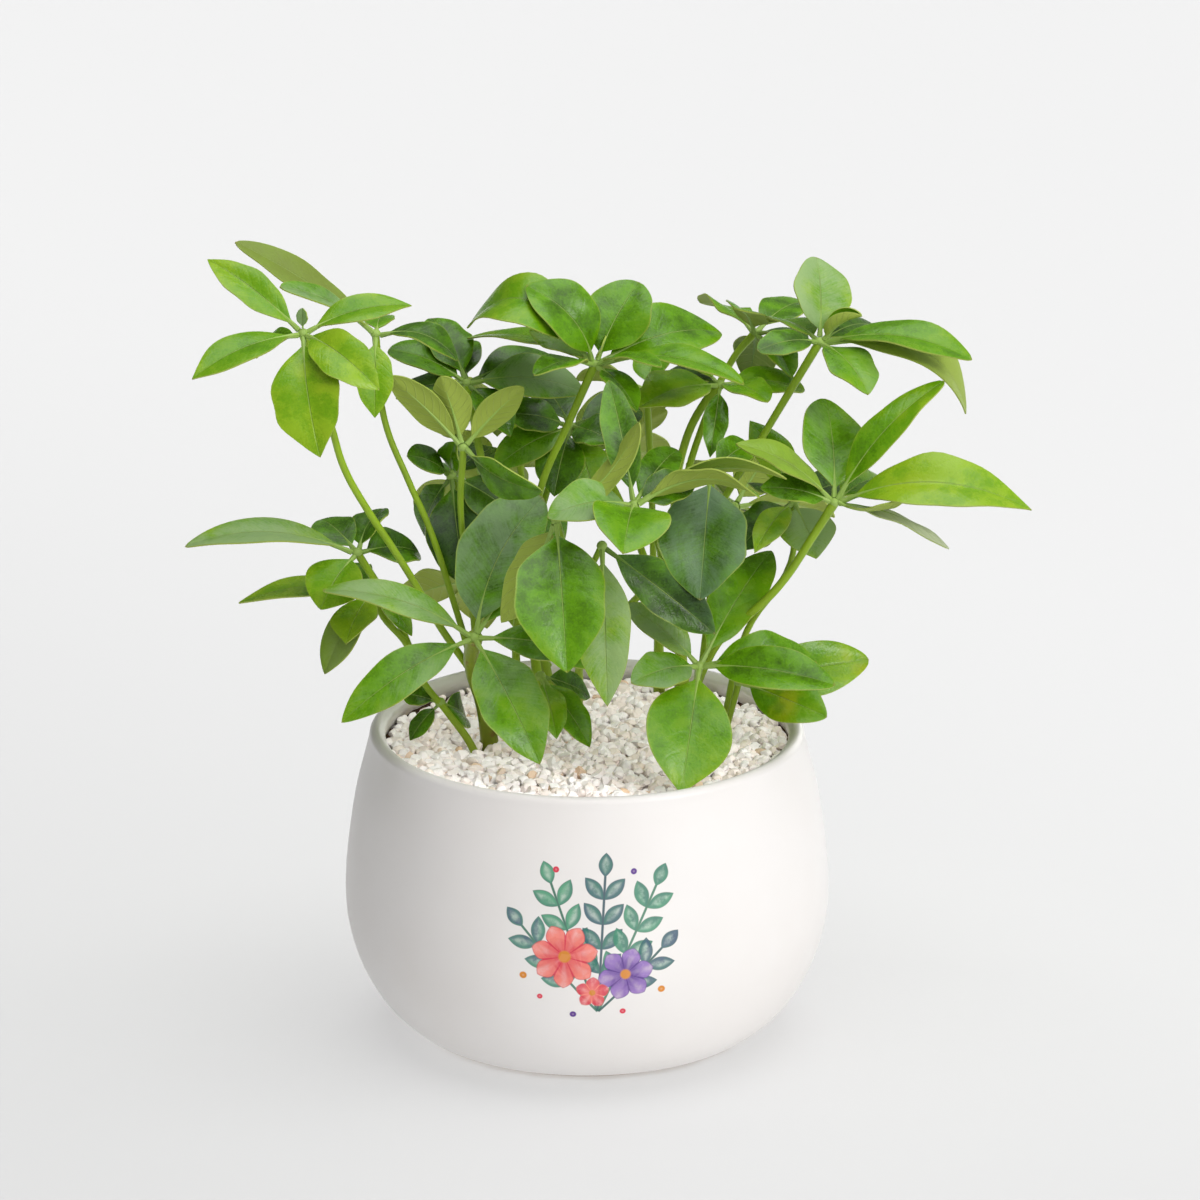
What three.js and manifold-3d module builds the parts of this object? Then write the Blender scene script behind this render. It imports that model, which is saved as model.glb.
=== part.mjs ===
// A potted dwarf umbrella plant: leafy stems standing in a round-bellied ceramic pot
// that is filled with soil and topped with pale gravel.
// Millimetres, +Z up. The origin is the middle of the pot's flat underside, and the
// front of the plant faces -Y.

import * as THREE from 'three';
import { mergeVertices } from 'three/addons/utils/BufferGeometryUtils.js';
import Module from 'manifold-3d';

const wasm = await Module();
wasm.setup();

// ------------------------------------------------------------- driving dimensions
const BELLY_RADIUS = 90; // widest radius of the pot
const FOOT_RADIUS = 57.5; // flat underside
const LIP_TOP = 116; // height of the pot
const LIP_RADIUS = 81; // outside radius just under the lip
const WALL = 5.4; // thickness of the pot's wall
const FLOOR = 6; // thickness of the pot's floor
const POT_SIDES = 38;

const SOIL_TOP = 100;
const SOIL_SIDES = 20;
const GRAVEL_TOP = 110.2; // mean height of the gravel
const CHIP_PITCH = 6.3; // distance between a chip's middle and its corners
const CHIP_RISE = 2.6; // how far a chip's middle stands over its corners, at most
const CHIP_LEAST = 0.35; // the lowest chip's rise, as a share of the highest's
const CHIP_DIP = 1.2; // how far a corner between chips may dip
const GRAVEL_ROOM = 114; // level that no chip reaches
const GRAVEL_SEED = 7;
const CHIP_JITTER = 0.36; // random shift of chips, as a share of their pitch

const CLEAR = 0.3; // gap between pieces that touch
const WALL_CLEAR = 0.36; // gap to the pot's wall, whose flat facets reach inwards
const ROOT_BOTTOM = 80; // level that the stems reach down to in the soil
const ROOT_TOP = GRAVEL_TOP + 6; // a stem's straight root ends just over the gravel
const ROOT_JOIN = GRAVEL_TOP + 4; // and its stalk starts a little lower, inside it
const HOLE_SIDES = 8;
const STALK_SIDES = 5;
const STALK_STEP = 20; // length of one straight stretch of a stalk
const HUB_RADIUS = 3.4; // knuckle where the leaflets meet
const LEAFLET_SEAT = 1.9; // how far from the knuckle's middle a leaflet starts

const BLADE_THICKNESS = 0.7;
const PETIOLULE_RADIUS = 1.1; // the short three-sided stalk of one leaflet
const BLADE_FOLD = 10; // degrees that each half of a blade is raised from flat

const PETIOLULE_SPAN = [0, 0.13]; // share of a leaflet's length that is stalk

// The blade's outline: share of the leaflet's length, share of the blade's half width.
const BLADE_OUTLINE = [[0.34, 0.74], [0.58, 1], [0.82, 0.78]];

// The foliage is laid out as seen from the front, along a line that looks down a little.
const LOOK_DOWN = 18.4 * Math.PI / 180;
const RIGHT = new THREE.Vector3(1, 0, 0);
const RISE = new THREE.Vector3(0, Math.sin(LOOK_DOWN), Math.cos(LOOK_DOWN));
const NEAR = new THREE.Vector3(0, -Math.cos(LOOK_DOWN), Math.sin(LOOK_DOWN));

// ------------------------------------------------------------- colours
const GLAZE = new THREE.MeshStandardMaterial({ color: 0xefece8, roughness: 0.45, metalness: 0 });
const SOIL = new THREE.MeshStandardMaterial({ color: 0x5b3a26, roughness: 0.95, metalness: 0 });
const STONE = new THREE.MeshStandardMaterial({ color: 0xdcd6cc, roughness: 0.8, metalness: 0 });
const LEAF = new THREE.MeshStandardMaterial({ color: 0x4d8c22, roughness: 0.4, metalness: 0 });

// ------------------------------------------------------------- the plant
// Each leafy stem has the place of its root, [x, y, radius], and its umbrellas. An
// umbrella has its hub, [x, y, z], the way its leaflets' upper sides face, [right, rise,
// near], and its stalk: a radius and the points that it passes on its way to the hub. The
// first umbrella's stalk starts at the root. Each leaflet has its tip as an offset from
// the hub, [right, rise, near], then its width, the arch of its midrib as a share of its
// length, and its roll in degrees.
const LEAFY_STEMS = [
  {
    name: 'stem_left',
    root: [-36, 0, 3.3],
    umbrellas: [
      { // lower left, in front
        hub: [-41, -25, 159], faces: [-0.1, 0.6, 0.8],
        stalk: [3, [[-38, 0, 124], [-42, -4, 139]]],
        leaflets: [
          [-48, -31, 12, 18, 0.13, -10],
          [-55, 17, 6, 16, 0.12, 10],
          [25, 51, -6, 30, 0.08, 15, -0.08],
          [33, 46, -14, 20, 0.08, 20],
          [55, -11, 4, 17, 0.1, 0],
          [24, -46, 18, 25, 0.1, 0],
        ],
      },
      { // top left, in front
        hub: [-102, -30, 276], faces: [-0.3, 0.7, 0.6],
        stalk: [1.7, [
          [-42, -1, 137], [-54, -6, 157], [-63, -10, 175], [-71, -14, 190], [-80, -18, 206],
          [-88, -22, 223], [-92, -24, 238],
        ]],
        leaflets: [
          [-39, -17, 15, 18, 0.09, 0],
          [7, -45, 20, 26, 0.1, 0],
          [28, -21, 18, 18, 0.2, 10],
          [39, 10, -5, 15, 0.1, 0],
          [-35, 27, -15, 15, 0.08, 0],
          [-17, -8, -20, 12, 0.1, 0],
          [0, 9, 2, 5, 0, 0],
        ],
      },
      { // upper left, behind the one above
        hub: [-77, 10, 264], faces: [0, 0.8, 0.5],
        stalk: [1.6, [
          [-42, -3, 141], [-49, -1, 165], [-58, 2, 193], [-65, 4, 209], [-74, 8, 232],
        ]],
        leaflets: [
          [30, -10, 0, 16, 0.2, 0],
          [0, -31, 10, 14, 0.12, 0],
          [2, 7, -20, 12, 0.1, 0],
          [-51, 33, 5, 17, 0.04, 0],
          [-34, 16, 24, 14, 0.08, 0],
        ],
      },
      { // back-lit pale one, seen from below
        hub: [-45, -5, 225], faces: [0, 0.7, -0.7],
        stalk: [1.5, [[-40, -2, 132], [-42, -6, 165], [-46, -6, 201]]],
        leaflets: [
          [-27, 26, 5, 14, 0.05, 0],
          [-8, 26, 5, 15, 0.05, 0],
          [22, 22, 5, 14, 0.05, 0],
          [29, -16, 18, 17, 0.1, 180],
          [-18, 20, -8, 12, 0.05, 0],
        ],
      },
      { // small low one
        hub: [-17, -10, 139], faces: [0.1, 0.6, 0.8],
        stalk: [1.2, [[-38, -2, 124], [-28, -8, 131]]],
        leaflets: [
          [18, -26, 8, 14, 0.08, 0],
          [6, -23, 14, 12, 0.08, 0],
          [18, -8, -12, 13, 0.08, 0],
        ],
      },
    ],
  },
  {
    name: 'stalk_far_left',
    root: [-42, -8, 1.6],
    umbrellas: [
      { // far left, lower
        hub: [-78, 0, 169], faces: [-0.2, 0.8, 0.4],
        stalk: [1.6, [[-51, -6, 123], [-61, -4, 136], [-66, -2, 148], [-76, -1, 161]]],
        leaflets: [
          [-50, -5, -5, 16, 0.08, 0],
          [-10, -20, 14, 19, 0.08, 0],
          [-18, -31, 4, 17, 0.08, -10],
          [14, -17, 10, 9, 0.1, 0],
          [-16, 4, -28, 17, 0.1, 0],
        ],
      },
      { // far left, upper
        hub: [-84, -5, 185], faces: [-0.1, 0.7, 0.6],
        stalk: [1.6, [[-61, -4, 136], [-70, 1, 158]]],
        leaflets: [
          [-63, 2, 0, 18, 0.12, 10],
          [-13, -21, 9, 24, 0.1, 0],
          [-14, 12, -20, 16, 0.1, 0],
          [9, 16, -20, 16, 0.1, 0],
          [22, 0, -17, 20, 0.1, 10],
        ],
      },
      { // tiny young one close over the gravel
        hub: [-54, -5, 127], faces: [-0.2, 0.5, 0.8],
        stalk: [1, [[-52, -6, 124]]],
        leaflets: [
          [-11, -14, 4, 8, 0.08, 0],
          [9, -6, -18, 15, 0.08, 40],
          [-14, 3, -6, 9, 0.08, 0],
        ],
      },
    ],
  },
  {
    name: 'stem_mid_left',
    root: [-16, 22, 2.4],
    umbrellas: [
      { // dark one, upper left middle
        hub: [-44, 24, 241], faces: [0, 0.8, 0.5],
        stalk: [1.8, [[-22, 24, 150], [-36, 19, 200]]],
        leaflets: [
          [-4, 16, -25, 17, 0.1, 0],
          [43, -4, 4, 22, 0.12, 10],
          [33, 9, -15, 18, 0.1, 10],
          [-29, 12, -5, 20, 0.1, 0],
          [-13, 24, -15, 19, 0.1, 0],
          [-26, -6, 2, 18, 0.1, 0],
          [16, -20, 8, 18, 0.1, 0],
        ],
      },
      { // dark one behind the left stem
        hub: [-50, 22, 206], faces: [-0.2, 0.6, 0.7],
        stalk: [1.5, [[-22, 24, 150], [-40, 30, 182]]],
        leaflets: [
          [6, -42, 8, 25, 0.08, 0],
          [-16, 7, 12, 15, 0.1, 0],
          [27, -18, 4, 20, 0.1, 0],
          [2, 12, 8, 13, 0.1, 0],
          [-10, -22, -14, 18, 0.1, 0],
          [18, 10, -20, 18, 0.1, 0],
        ],
      },
    ],
  },
  {
    name: 'stem_centre',
    root: [-22, 10, 2.2],
    umbrellas: [
      { // top centre
        hub: [3, 5, 254], faces: [0, 0.9, 0.3],
        stalk: [1.8, [
          [-26, 9, 135], [-24, 6, 170], [-17, 1, 207], [-14, 2, 216], [-8, 3, 229],
        ]],
        leaflets: [
          [-25, 28, 8, 25, 0.24, -45],
          [-46, 14, -14, 26, 0.5, -30],
          [-22, -5, 24, 14, 0.1, 0],
          [-47, 10, -28, 15, 0.1, 0],
          [-24, 12, -4, 14, 0.1, -20],
          [16, 30, -10, 27, 0.1, 20],
          [46, 12, -18, 26, 0.15, 35],
          [54, -8, 14, 19, 0.12, 0],
          [24, -2, 26, 11, 0.1, 0],
          [4, 10, 4, 7, 0, 0],
          [15, -18, 14, 14, 0.1, 0],
        ],
      },
      { // dark one behind the centre
        hub: [-6, 28, 223], faces: [0, 0.6, 0.7],
        stalk: [1.5, [[-24, 8, 160], [-16, 22, 195]]],
        leaflets: [
          [-6, -26, 12, 19, 0.1, 0],
          [-24, 4, 8, 18, 0.1, 0],
          [15, -6, 12, 18, 0.1, 0],
          [26, 6, -16, 18, 0.1, 0],
          [-10, 14, -24, 18, 0.1, 0],
          [-28, -16, 10, 18, 0.1, 0],
          [10, -30, 8, 18, 0.1, 0],
        ],
      },
    ],
  },
  {
    name: 'stem_front',
    root: [-4, 25, 2.4],
    umbrellas: [
      { // front centre, with the largest hanging leaflet
        hub: [-11, -38, 208], faces: [0, 0.5, 0.85],
        stalk: [1.7, [[-3, 10, 135], [-5, -18, 175]]],
        leaflets: [
          [4, -55, 22, 35, 0.08, 0],
          [30, 35, 9, 14, 0.1, 150],
          [-20, -37, -12, 19, 0.1, 180],
        ],
      },
      { // greyish leaflet hanging beside it, and a dark one
        hub: [5.5, -34, 197], faces: [0, 0.3, 0.95],
        stalk: [1.3, [[-5, -18, 175], [1, -27, 186]]],
        leaflets: [
          [2, -58, 14, 20, 0.08, 0],
          [41, -32, -6, 20, 0.05, 0],
        ],
      },
      { // centre
        hub: [17, -35, 213], faces: [0, 0.6, 0.8],
        stalk: [1.7, [[-3, 10, 135], [13, -1, 160], [27, -20, 187]]],
        leaflets: [
          [-4, -18, 34, 30, 0.1, 0],
          [-31, -5, 12, 20, 0.15, 0],
          [-9, 45, 0, 14, 0.1, 0],
          [45, 2, 20, 16, 0.2, -80],
          [55, 9, 8, 13, 0.16, -70],
          [22, 8, -10, 16, 0.1, 0],
          [16, 20, -26, 14, 0.1, 0],
        ],
      },
    ],
  },
  {
    name: 'stem_back_right',
    root: [36, 50, 2.8],
    umbrellas: [
      { // top right of centre
        hub: [49, 25, 240], faces: [0.1, 0.8, 0.5],
        stalk: [1.9, [[34, 41, 150], [32, 29, 185], [36, 23, 218], [43, 24, 233]]],
        leaflets: [
          [17, -7, 22, 16, 0.1, 0],
          [-30, -9, 18, 24, 0.1, 0],
          [-19, 13, -10, 10, 0.1, 0],
          [31, -2, -5, 18, 0.1, 0],
          [-4, -27, 12, 10, 0.1, 0],
          [-24, 2, -22, 20, 0.1, 0],
        ],
      },
      { // top right, at the back
        hub: [62, 45, 254], faces: [0.2, 0.8, 0.2],
        stalk: [1.6, [[32, 29, 185], [42, 38, 218], [54, 42, 245]]],
        leaflets: [
          [-8, 8, 24, 18, 0.1, 0],
          [18, -5, 16, 16, 0.1, 10],
          [13, -17, 14, 15, 0.1, 0],
          [-20, 12, -25, 18, 0.1, 0],
          [20, 12, -28, 18, 0.1, 0],
          [-2, -18, -30, 18, 0.1, 0],
        ],
      },
      { // top right
        hub: [85, 10, 261], faces: [0.2, 0.8, 0.4],
        stalk: [1.7, [[34, 41, 150], [47, 22, 190], [66, 12, 227]]],
        leaflets: [
          [-1, 31, -12, 24, 0.08, 0],
          [15, 9, 8, 13, 0.1, 0],
          [55, -7, 8, 20, 0.12, 10],
          [54, -26, -18, 19, 0.36, 25],
          [17, -20, 20, 21, 0.1, 0],
          [-23, -4, 14, 13, 0.1, -10],
          [-18, 8, -24, 17, 0.1, 0],
          [22, 6, -30, 18, 0.1, 0],
        ],
      },
    ],
  },
  {
    name: 'stem_right',
    root: [38, 5, 2.4],
    umbrellas: [
      { // far right
        hub: [90, -20, 209], faces: [0.2, 0.8, 0.4],
        stalk: [1.9, [
          [40, -2, 130], [45, -9, 146], [50, -12, 155], [60, -15, 165], [70, -17, 176],
          [83, -19, 197],
        ]],
        leaflets: [
          [71, -3, 10, 25, 0.2, 28],
          [40, 44, -2, 15, 0.13, 10],
          [-3, 38, -20, 25, 0.08, 0],
          [-36, 21, 5, 18, 0.1, 0],
          [-27, 5, 4, 16, 0.1, -20],
          [25, 1, 20, 9, -0.12, -14],
          [41, -20, 12, 9, 0.08, -44],
          [20, 8, -36, 20, 0.1, 0],
        ],
      },
      { // lower right, in front
        hub: [41, -28, 149], faces: [0.1, 0.6, 0.8],
        stalk: [1.6, [[39, 3, 118], [40, -12, 134]]],
        leaflets: [
          [-7, -46, 23, 32, 0.08, 0],
          [-25, -6, 22, 17, 0.1, 0],
          [-27, 22, 0, 15, 0.1, 0],
          [49, -7, 14, 20, 0.1, 10],
          [43, 1, -10, 19, 0.15, 10],
          [27, 42, -34, 20, 0.1, 0],
        ],
      },
      { // one big dark leaflet hanging in the middle
        hub: [45, -11, 218], faces: [0, 0.4, 0.9],
        stalk: [1.5, [[42, -6, 139], [46, 0, 180]]],
        leaflets: [
          [-4, -47, 15, 34, 0.06, 0],
          [14, 10, -14, 14, 0.1, 0],
        ],
      },
    ],
  },
  {
    name: 'stalk_right_low',
    root: [50, -2, 1.3],
    umbrellas: [
      { // close over the lip
        hub: [56, -2, 134], faces: [0.1, 0.8, 0.5],
        stalk: [1.3, [[53, -2, 122]]],
        leaflets: [
          [32, -13, 10, 21, 0.05, 40],
          [48, 8, -12, 22, 0.06, 45],
        ],
      },
    ],
  },
  {
    name: 'stalk_right_back',
    root: [50, 14, 1.4],
    umbrellas: [
      { // right, behind the far right stalk
        hub: [76, 15, 198], faces: [0, 0.7, 0.6],
        stalk: [1.4, [[59, 12, 149], [75, 14, 175]]],
        leaflets: [
          [8, -21, 12, 22, 0.1, 0],
          [-20, -18, 6, 20, 0.1, 0],
          [-15, -19, 26, 12, 0.1, 0],
          [-16, 30, -12, 16, 0.1, 0],
          [24, 6, -24, 18, 0.1, 0],
          [-12, 6, -30, 18, 0.1, 0],
        ],
      },
    ],
  },
  {
    name: 'stem_back_left',
    root: [-12, 42, 2.2],
    umbrellas: [
      { // back left
        hub: [-38, 56, 190], faces: [-0.3, 0.7, -0.5],
        stalk: [1.7, [[-22, 46, 150]]],
        leaflets: [
          [-26, -8, -20, 20, 0.1, 0],
          [-20, 8, -42, 22, 0.1, 0],
          [14, 0, -48, 20, 0.1, 0],
          [-8, 22, -4, 18, 0.1, 0],
          [24, 20, -8, 18, 0.1, 0],
        ],
      },
      { // back left, low
        hub: [-40, 62, 152], faces: [-0.2, 0.7, -0.6],
        stalk: [1.5, [[-14, 44, 124]]],
        leaflets: [
          [-32, -10, -16, 20, 0.1, 0],
          [2, -18, -34, 22, 0.1, 0],
          [28, -6, -26, 18, 0.1, 0],
        ],
      },
      { // back left, high
        hub: [-28, 62, 222], faces: [-0.1, 0.8, -0.4],
        stalk: [1.5, [[-22, 46, 150], [-24, 54, 190]]],
        leaflets: [
          [-26, 4, -18, 18, 0.1, 0],
          [-6, -12, -38, 20, 0.1, 0],
          [20, 4, -28, 18, 0.1, 0],
          [-2, 18, -18, 17, 0.1, 0],
        ],
      },
    ],
  },
  {
    name: 'stem_back_middle',
    root: [27, 57, 2.2],
    umbrellas: [
      { // back, in the middle
        hub: [4, 74, 196], faces: [0, 0.7, -0.6],
        stalk: [1.7, [[25, 55, 150], [15, 65, 176]]],
        leaflets: [
          [-32, -2, -24, 20, 0.1, 0],
          [-4, -14, -42, 24, 0.1, 0],
          [28, 0, -32, 20, 0.1, 0],
          [2, 26, -14, 18, 0.1, 0],
          [26, 18, 2, 18, 0.1, 0],
        ],
      },
      { // back right
        hub: [55, 66, 180], faces: [0.4, 0.7, -0.5],
        stalk: [1.6, [[27, 56, 130], [39, 60, 154]]],
        leaflets: [
          [38, -4, -14, 20, 0.1, 0],
          [12, -12, -42, 22, 0.1, 0],
          [-10, -8, -40, 20, 0.1, 0],
          [18, 26, -6, 18, 0.1, 0],
          [-18, 16, -8, 18, 0.1, 0],
        ],
      },
      { // back, high
        hub: [22, 58, 228], faces: [0.1, 0.8, -0.4],
        stalk: [1.5, [[25, 55, 150], [24, 56, 190]]],
        leaflets: [
          [-26, 4, -18, 18, 0.1, 0],
          [20, 0, -32, 20, 0.1, 0],
          [-4, -14, -36, 20, 0.1, 0],
          [6, 16, -20, 17, 0.1, 0],
        ],
      },
    ],
  },
];

// ------------------------------------------------------------- solids
/** Turns a closed geometry into a solid that can be joined and cut. */
function toSolid(geometry) {
  const bare = geometry.index ? geometry.toNonIndexed() : geometry.clone();
  bare.deleteAttribute('normal');
  bare.deleteAttribute('uv');
  const merged = mergeVertices(bare, 1e-4);
  const triangles = [];
  for (let i = 0; i < merged.index.count; i += 3) {
    const [a, b, c] = [0, 1, 2].map((k) => merged.index.getX(i + k));
    if (a !== b && b !== c && c !== a) triangles.push(a, b, c);
  }
  return new wasm.Manifold(new wasm.Mesh({
    numProp: 3,
    vertProperties: Float32Array.from(merged.attributes.position.array),
    triVerts: Uint32Array.from(triangles),
  }));
}

/** Names a finished solid and gives it its material. */
function piece(name, solid, material) {
  const result = solid.getMesh();
  const geometry = new THREE.BufferGeometry();
  geometry.setAttribute('position', new THREE.BufferAttribute(result.vertProperties, 3));
  geometry.setIndex(new THREE.BufferAttribute(result.triVerts, 1));
  geometry.computeVertexNormals();
  const mesh = new THREE.Mesh(geometry, material);
  mesh.name = name;
  return mesh;
}

/** A round body from its outline, a list of [radius, height] that starts and ends on the axis. */
function turned(outline, sides) {
  const points = outline.map(([radius, height]) => new THREE.Vector2(radius, height));
  const geometry = new THREE.LatheGeometry(points, sides);
  geometry.rotateX(Math.PI / 2);
  return toSolid(geometry);
}

/** Smooth stretch of an outline through a few points. */
function smooth(points, steps) {
  const curve = new THREE.SplineCurve(points.map(([x, y]) => new THREE.Vector2(x, y)));
  return curve.getPoints(steps).map((point) => [point.x, point.y]);
}

/** Repeatable random numbers from 0 to 1. */
function randomFrom(seed) {
  let state = seed;
  return () => {
    state = (state * 1664525 + 1013904223) % 4294967296;
    return state / 4294967296;
  };
}

// ------------------------------------------------------------- pot, soil and gravel
const OUTSIDE = smooth([
  [FOOT_RADIUS, 0], [67, 4.5], [76.5, 13.5], [84.5, 27], [89, 42], [BELLY_RADIUS, 56],
  [88.8, 72], [86, 91], [LIP_RADIUS + 1.6, 105], [LIP_RADIUS, 111.5],
], 10);
const LIP = [
  [LIP_RADIUS - 0.7, 114.6], [LIP_RADIUS - 2.7, LIP_TOP],
  [LIP_RADIUS - 5, 115.2], [LIP_RADIUS - 6.3, 112.6],
];
const INSIDE = [
  [LIP_RADIUS - 4, 105], [86 - WALL, 91], [BELLY_RADIUS - WALL, 62], [89 - WALL, 42],
  [84.5 - WALL, 28], [72, 15], [60, FLOOR],
];

function pot() {
  const outline = [[0, 0], ...OUTSIDE, ...LIP, ...INSIDE, [0, FLOOR]];
  return piece('pot', turned(outline, POT_SIDES), GLAZE);
}

/** The inside radius of the pot at a height. */
function insideRadius(height) {
  const next = INSIDE.findIndex(([, level]) => level <= height);
  const [above, below] = [next > 0 ? INSIDE[next - 1] : LIP.at(-1), INSIDE[next]];
  const share = (height - below[1]) / (above[1] - below[1]);
  return THREE.MathUtils.lerp(below[0], above[0], share);
}

/** The inside of the pot between two heights, kept clear of the wall. */
function filling(bottom, top, sides) {
  const wall = INSIDE.filter(([, height]) => height > bottom && height < top).reverse();
  const outline = [[insideRadius(bottom), bottom], ...wall, [insideRadius(top), top]];
  const inset = outline.map(([radius, height]) => [radius - WALL_CLEAR, height]);
  return turned([[0, bottom], ...inset, [0, top]], sides);
}

/** A plain round hole round each root, through the gravel and down into the soil. */
function withRootHoles(solid) {
  return LEAFY_STEMS.reduce((left, { root: [x, y, radius] }) => {
    const [wide, depth] = [radius + 2 * CLEAR, LIP_TOP - ROOT_BOTTOM];
    const hole = new THREE.CylinderGeometry(wide, wide, depth, HOLE_SIDES);
    hole.rotateX(Math.PI / 2);
    hole.translate(x, y, ROOT_BOTTOM + depth / 2);
    return left.subtract(toSolid(hole));
  }, solid);
}

function soil() {
  return piece('soil', withRootHoles(filling(FLOOR, SOIL_TOP, SOIL_SIDES)), SOIL);
}

/** Angular chips as relief: on a net of triangles every third corner is a chip's middle. */
function gravelRelief(reach) {
  const random = randomFrom(GRAVEL_SEED);
  const bottom = SOIL_TOP - CHIP_DIP;
  const rowHeight = CHIP_PITCH * Math.sqrt(3) / 2;
  const rows = Math.ceil(reach / rowHeight);
  const columns = Math.ceil(reach / CHIP_PITCH);
  const positions = [];
  const indices = [];
  const perRow = 2 * columns + 1;
  for (let row = -rows; row <= rows; row += 1) {
    for (let column = -columns; column <= columns; column += 1) {
      const skew = Math.floor(row / 2);
      const isMiddle = (((column - skew - row) % 3) + 3) % 3 === 0;
      const shift = () => (random() - 0.5) * 2 * CHIP_JITTER * CHIP_PITCH;
      const offset = row % 2 ? CHIP_PITCH / 2 : 0;
      const share = CHIP_LEAST + (1 - CHIP_LEAST) * random();
      const rise = isMiddle ? CHIP_RISE * share : -CHIP_DIP * random();
      positions.push(column * CHIP_PITCH + offset + shift(), row * rowHeight + shift());
      positions.push(GRAVEL_TOP + rise - CHIP_RISE / 3);
    }
  }
  const at = (row, column) => (row + rows) * perRow + column + columns;
  for (let row = -rows; row < rows; row += 1) {
    for (let column = -columns; column < columns; column += 1) {
      const [a, b] = [at(row, column), at(row, column + 1)];
      const [c, d] = [at(row + 1, column), at(row + 1, column + 1)];
      if (row % 2) indices.push(a, b, d, a, d, c);
      else indices.push(a, b, c, b, d, c);
    }
  }
  const border = [];
  for (let column = -columns; column < columns; column += 1) border.push(at(-rows, column));
  for (let row = -rows; row < rows; row += 1) border.push(at(row, columns));
  for (let column = columns; column > -columns; column -= 1) border.push(at(rows, column));
  for (let row = rows; row > -rows; row -= 1) border.push(at(row, -columns));
  const below = positions.length / 3;
  border.forEach((corner) => {
    positions.push(positions[3 * corner], positions[3 * corner + 1], bottom);
  });
  const middle = positions.length / 3;
  positions.push(0, 0, bottom);
  border.forEach((corner, i) => {
    const next = (i + 1) % border.length;
    indices.push(corner, below + i, below + next, corner, below + next, border[next]);
    indices.push(below + i, middle, below + next);
  });
  const geometry = new THREE.BufferGeometry();
  geometry.setAttribute('position', new THREE.Float32BufferAttribute(positions, 3));
  geometry.setIndex(indices);
  return toSolid(geometry);
}

function gravel() {
  const room = filling(SOIL_TOP + CLEAR, GRAVEL_ROOM, POT_SIDES);
  return piece('gravel', withRootHoles(gravelRelief(BELLY_RADIUS).intersect(room)), STONE);
}

// ------------------------------------------------------------- stalks and leaflets
/** A vector given as seen from the front. */
function seen([right, rise, near]) {
  return new THREE.Vector3()
    .addScaledVector(RIGHT, right)
    .addScaledVector(RISE, rise)
    .addScaledVector(NEAR, near);
}

function stalk(radius, points) {
  const path = new THREE.CatmullRomCurve3(points.map((point) => new THREE.Vector3(...point)));
  const corners = Array.from({ length: STALK_SIDES }, (_, i) => {
    const angle = 2 * Math.PI * i / STALK_SIDES;
    return new THREE.Vector2(radius * Math.cos(angle), radius * Math.sin(angle));
  });
  const steps = Math.ceil(path.getLength() / STALK_STEP);
  return toSolid(new THREE.ExtrudeGeometry(new THREE.Shape(corners), {
    steps, extrudePath: path, bevelEnabled: false,
  }));
}

/** Walls between two rings of corners; an even split keeps a blade's two faces alike. */
function joinRings(ring, next) {
  return ring.flatMap((here, i) => {
    const j = (i + 1) % ring.length;
    if (i % 3 === 1) return [here, next[i], ring[j], ring[j], next[i], next[j]];
    return [here, next[j], ring[j], here, next[i], next[j]];
  });
}

/** Walls from a leaflet's three-sided stalk to its blade's first ring of six corners. */
function openStalk([left, right, below], [tl, tm, tr, br, bm, bl]) {
  return [
    left, tl, tm, left, tm, right, right, tm, tr, right, tr, br, right, br, below,
    below, br, bm, below, bm, bl, below, bl, left, left, bl, tl,
  ];
}

/** Walls from a blade's last ring to the upper and lower corner of its tip. */
function closeTip([tl, tm, tr, br, bm, bl], [upper, lower]) {
  return [
    tl, upper, tm, tm, upper, tr, tr, upper, lower, tr, lower, br,
    br, lower, bm, bm, lower, bl, bl, lower, upper, bl, upper, tl,
  ];
}

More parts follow.
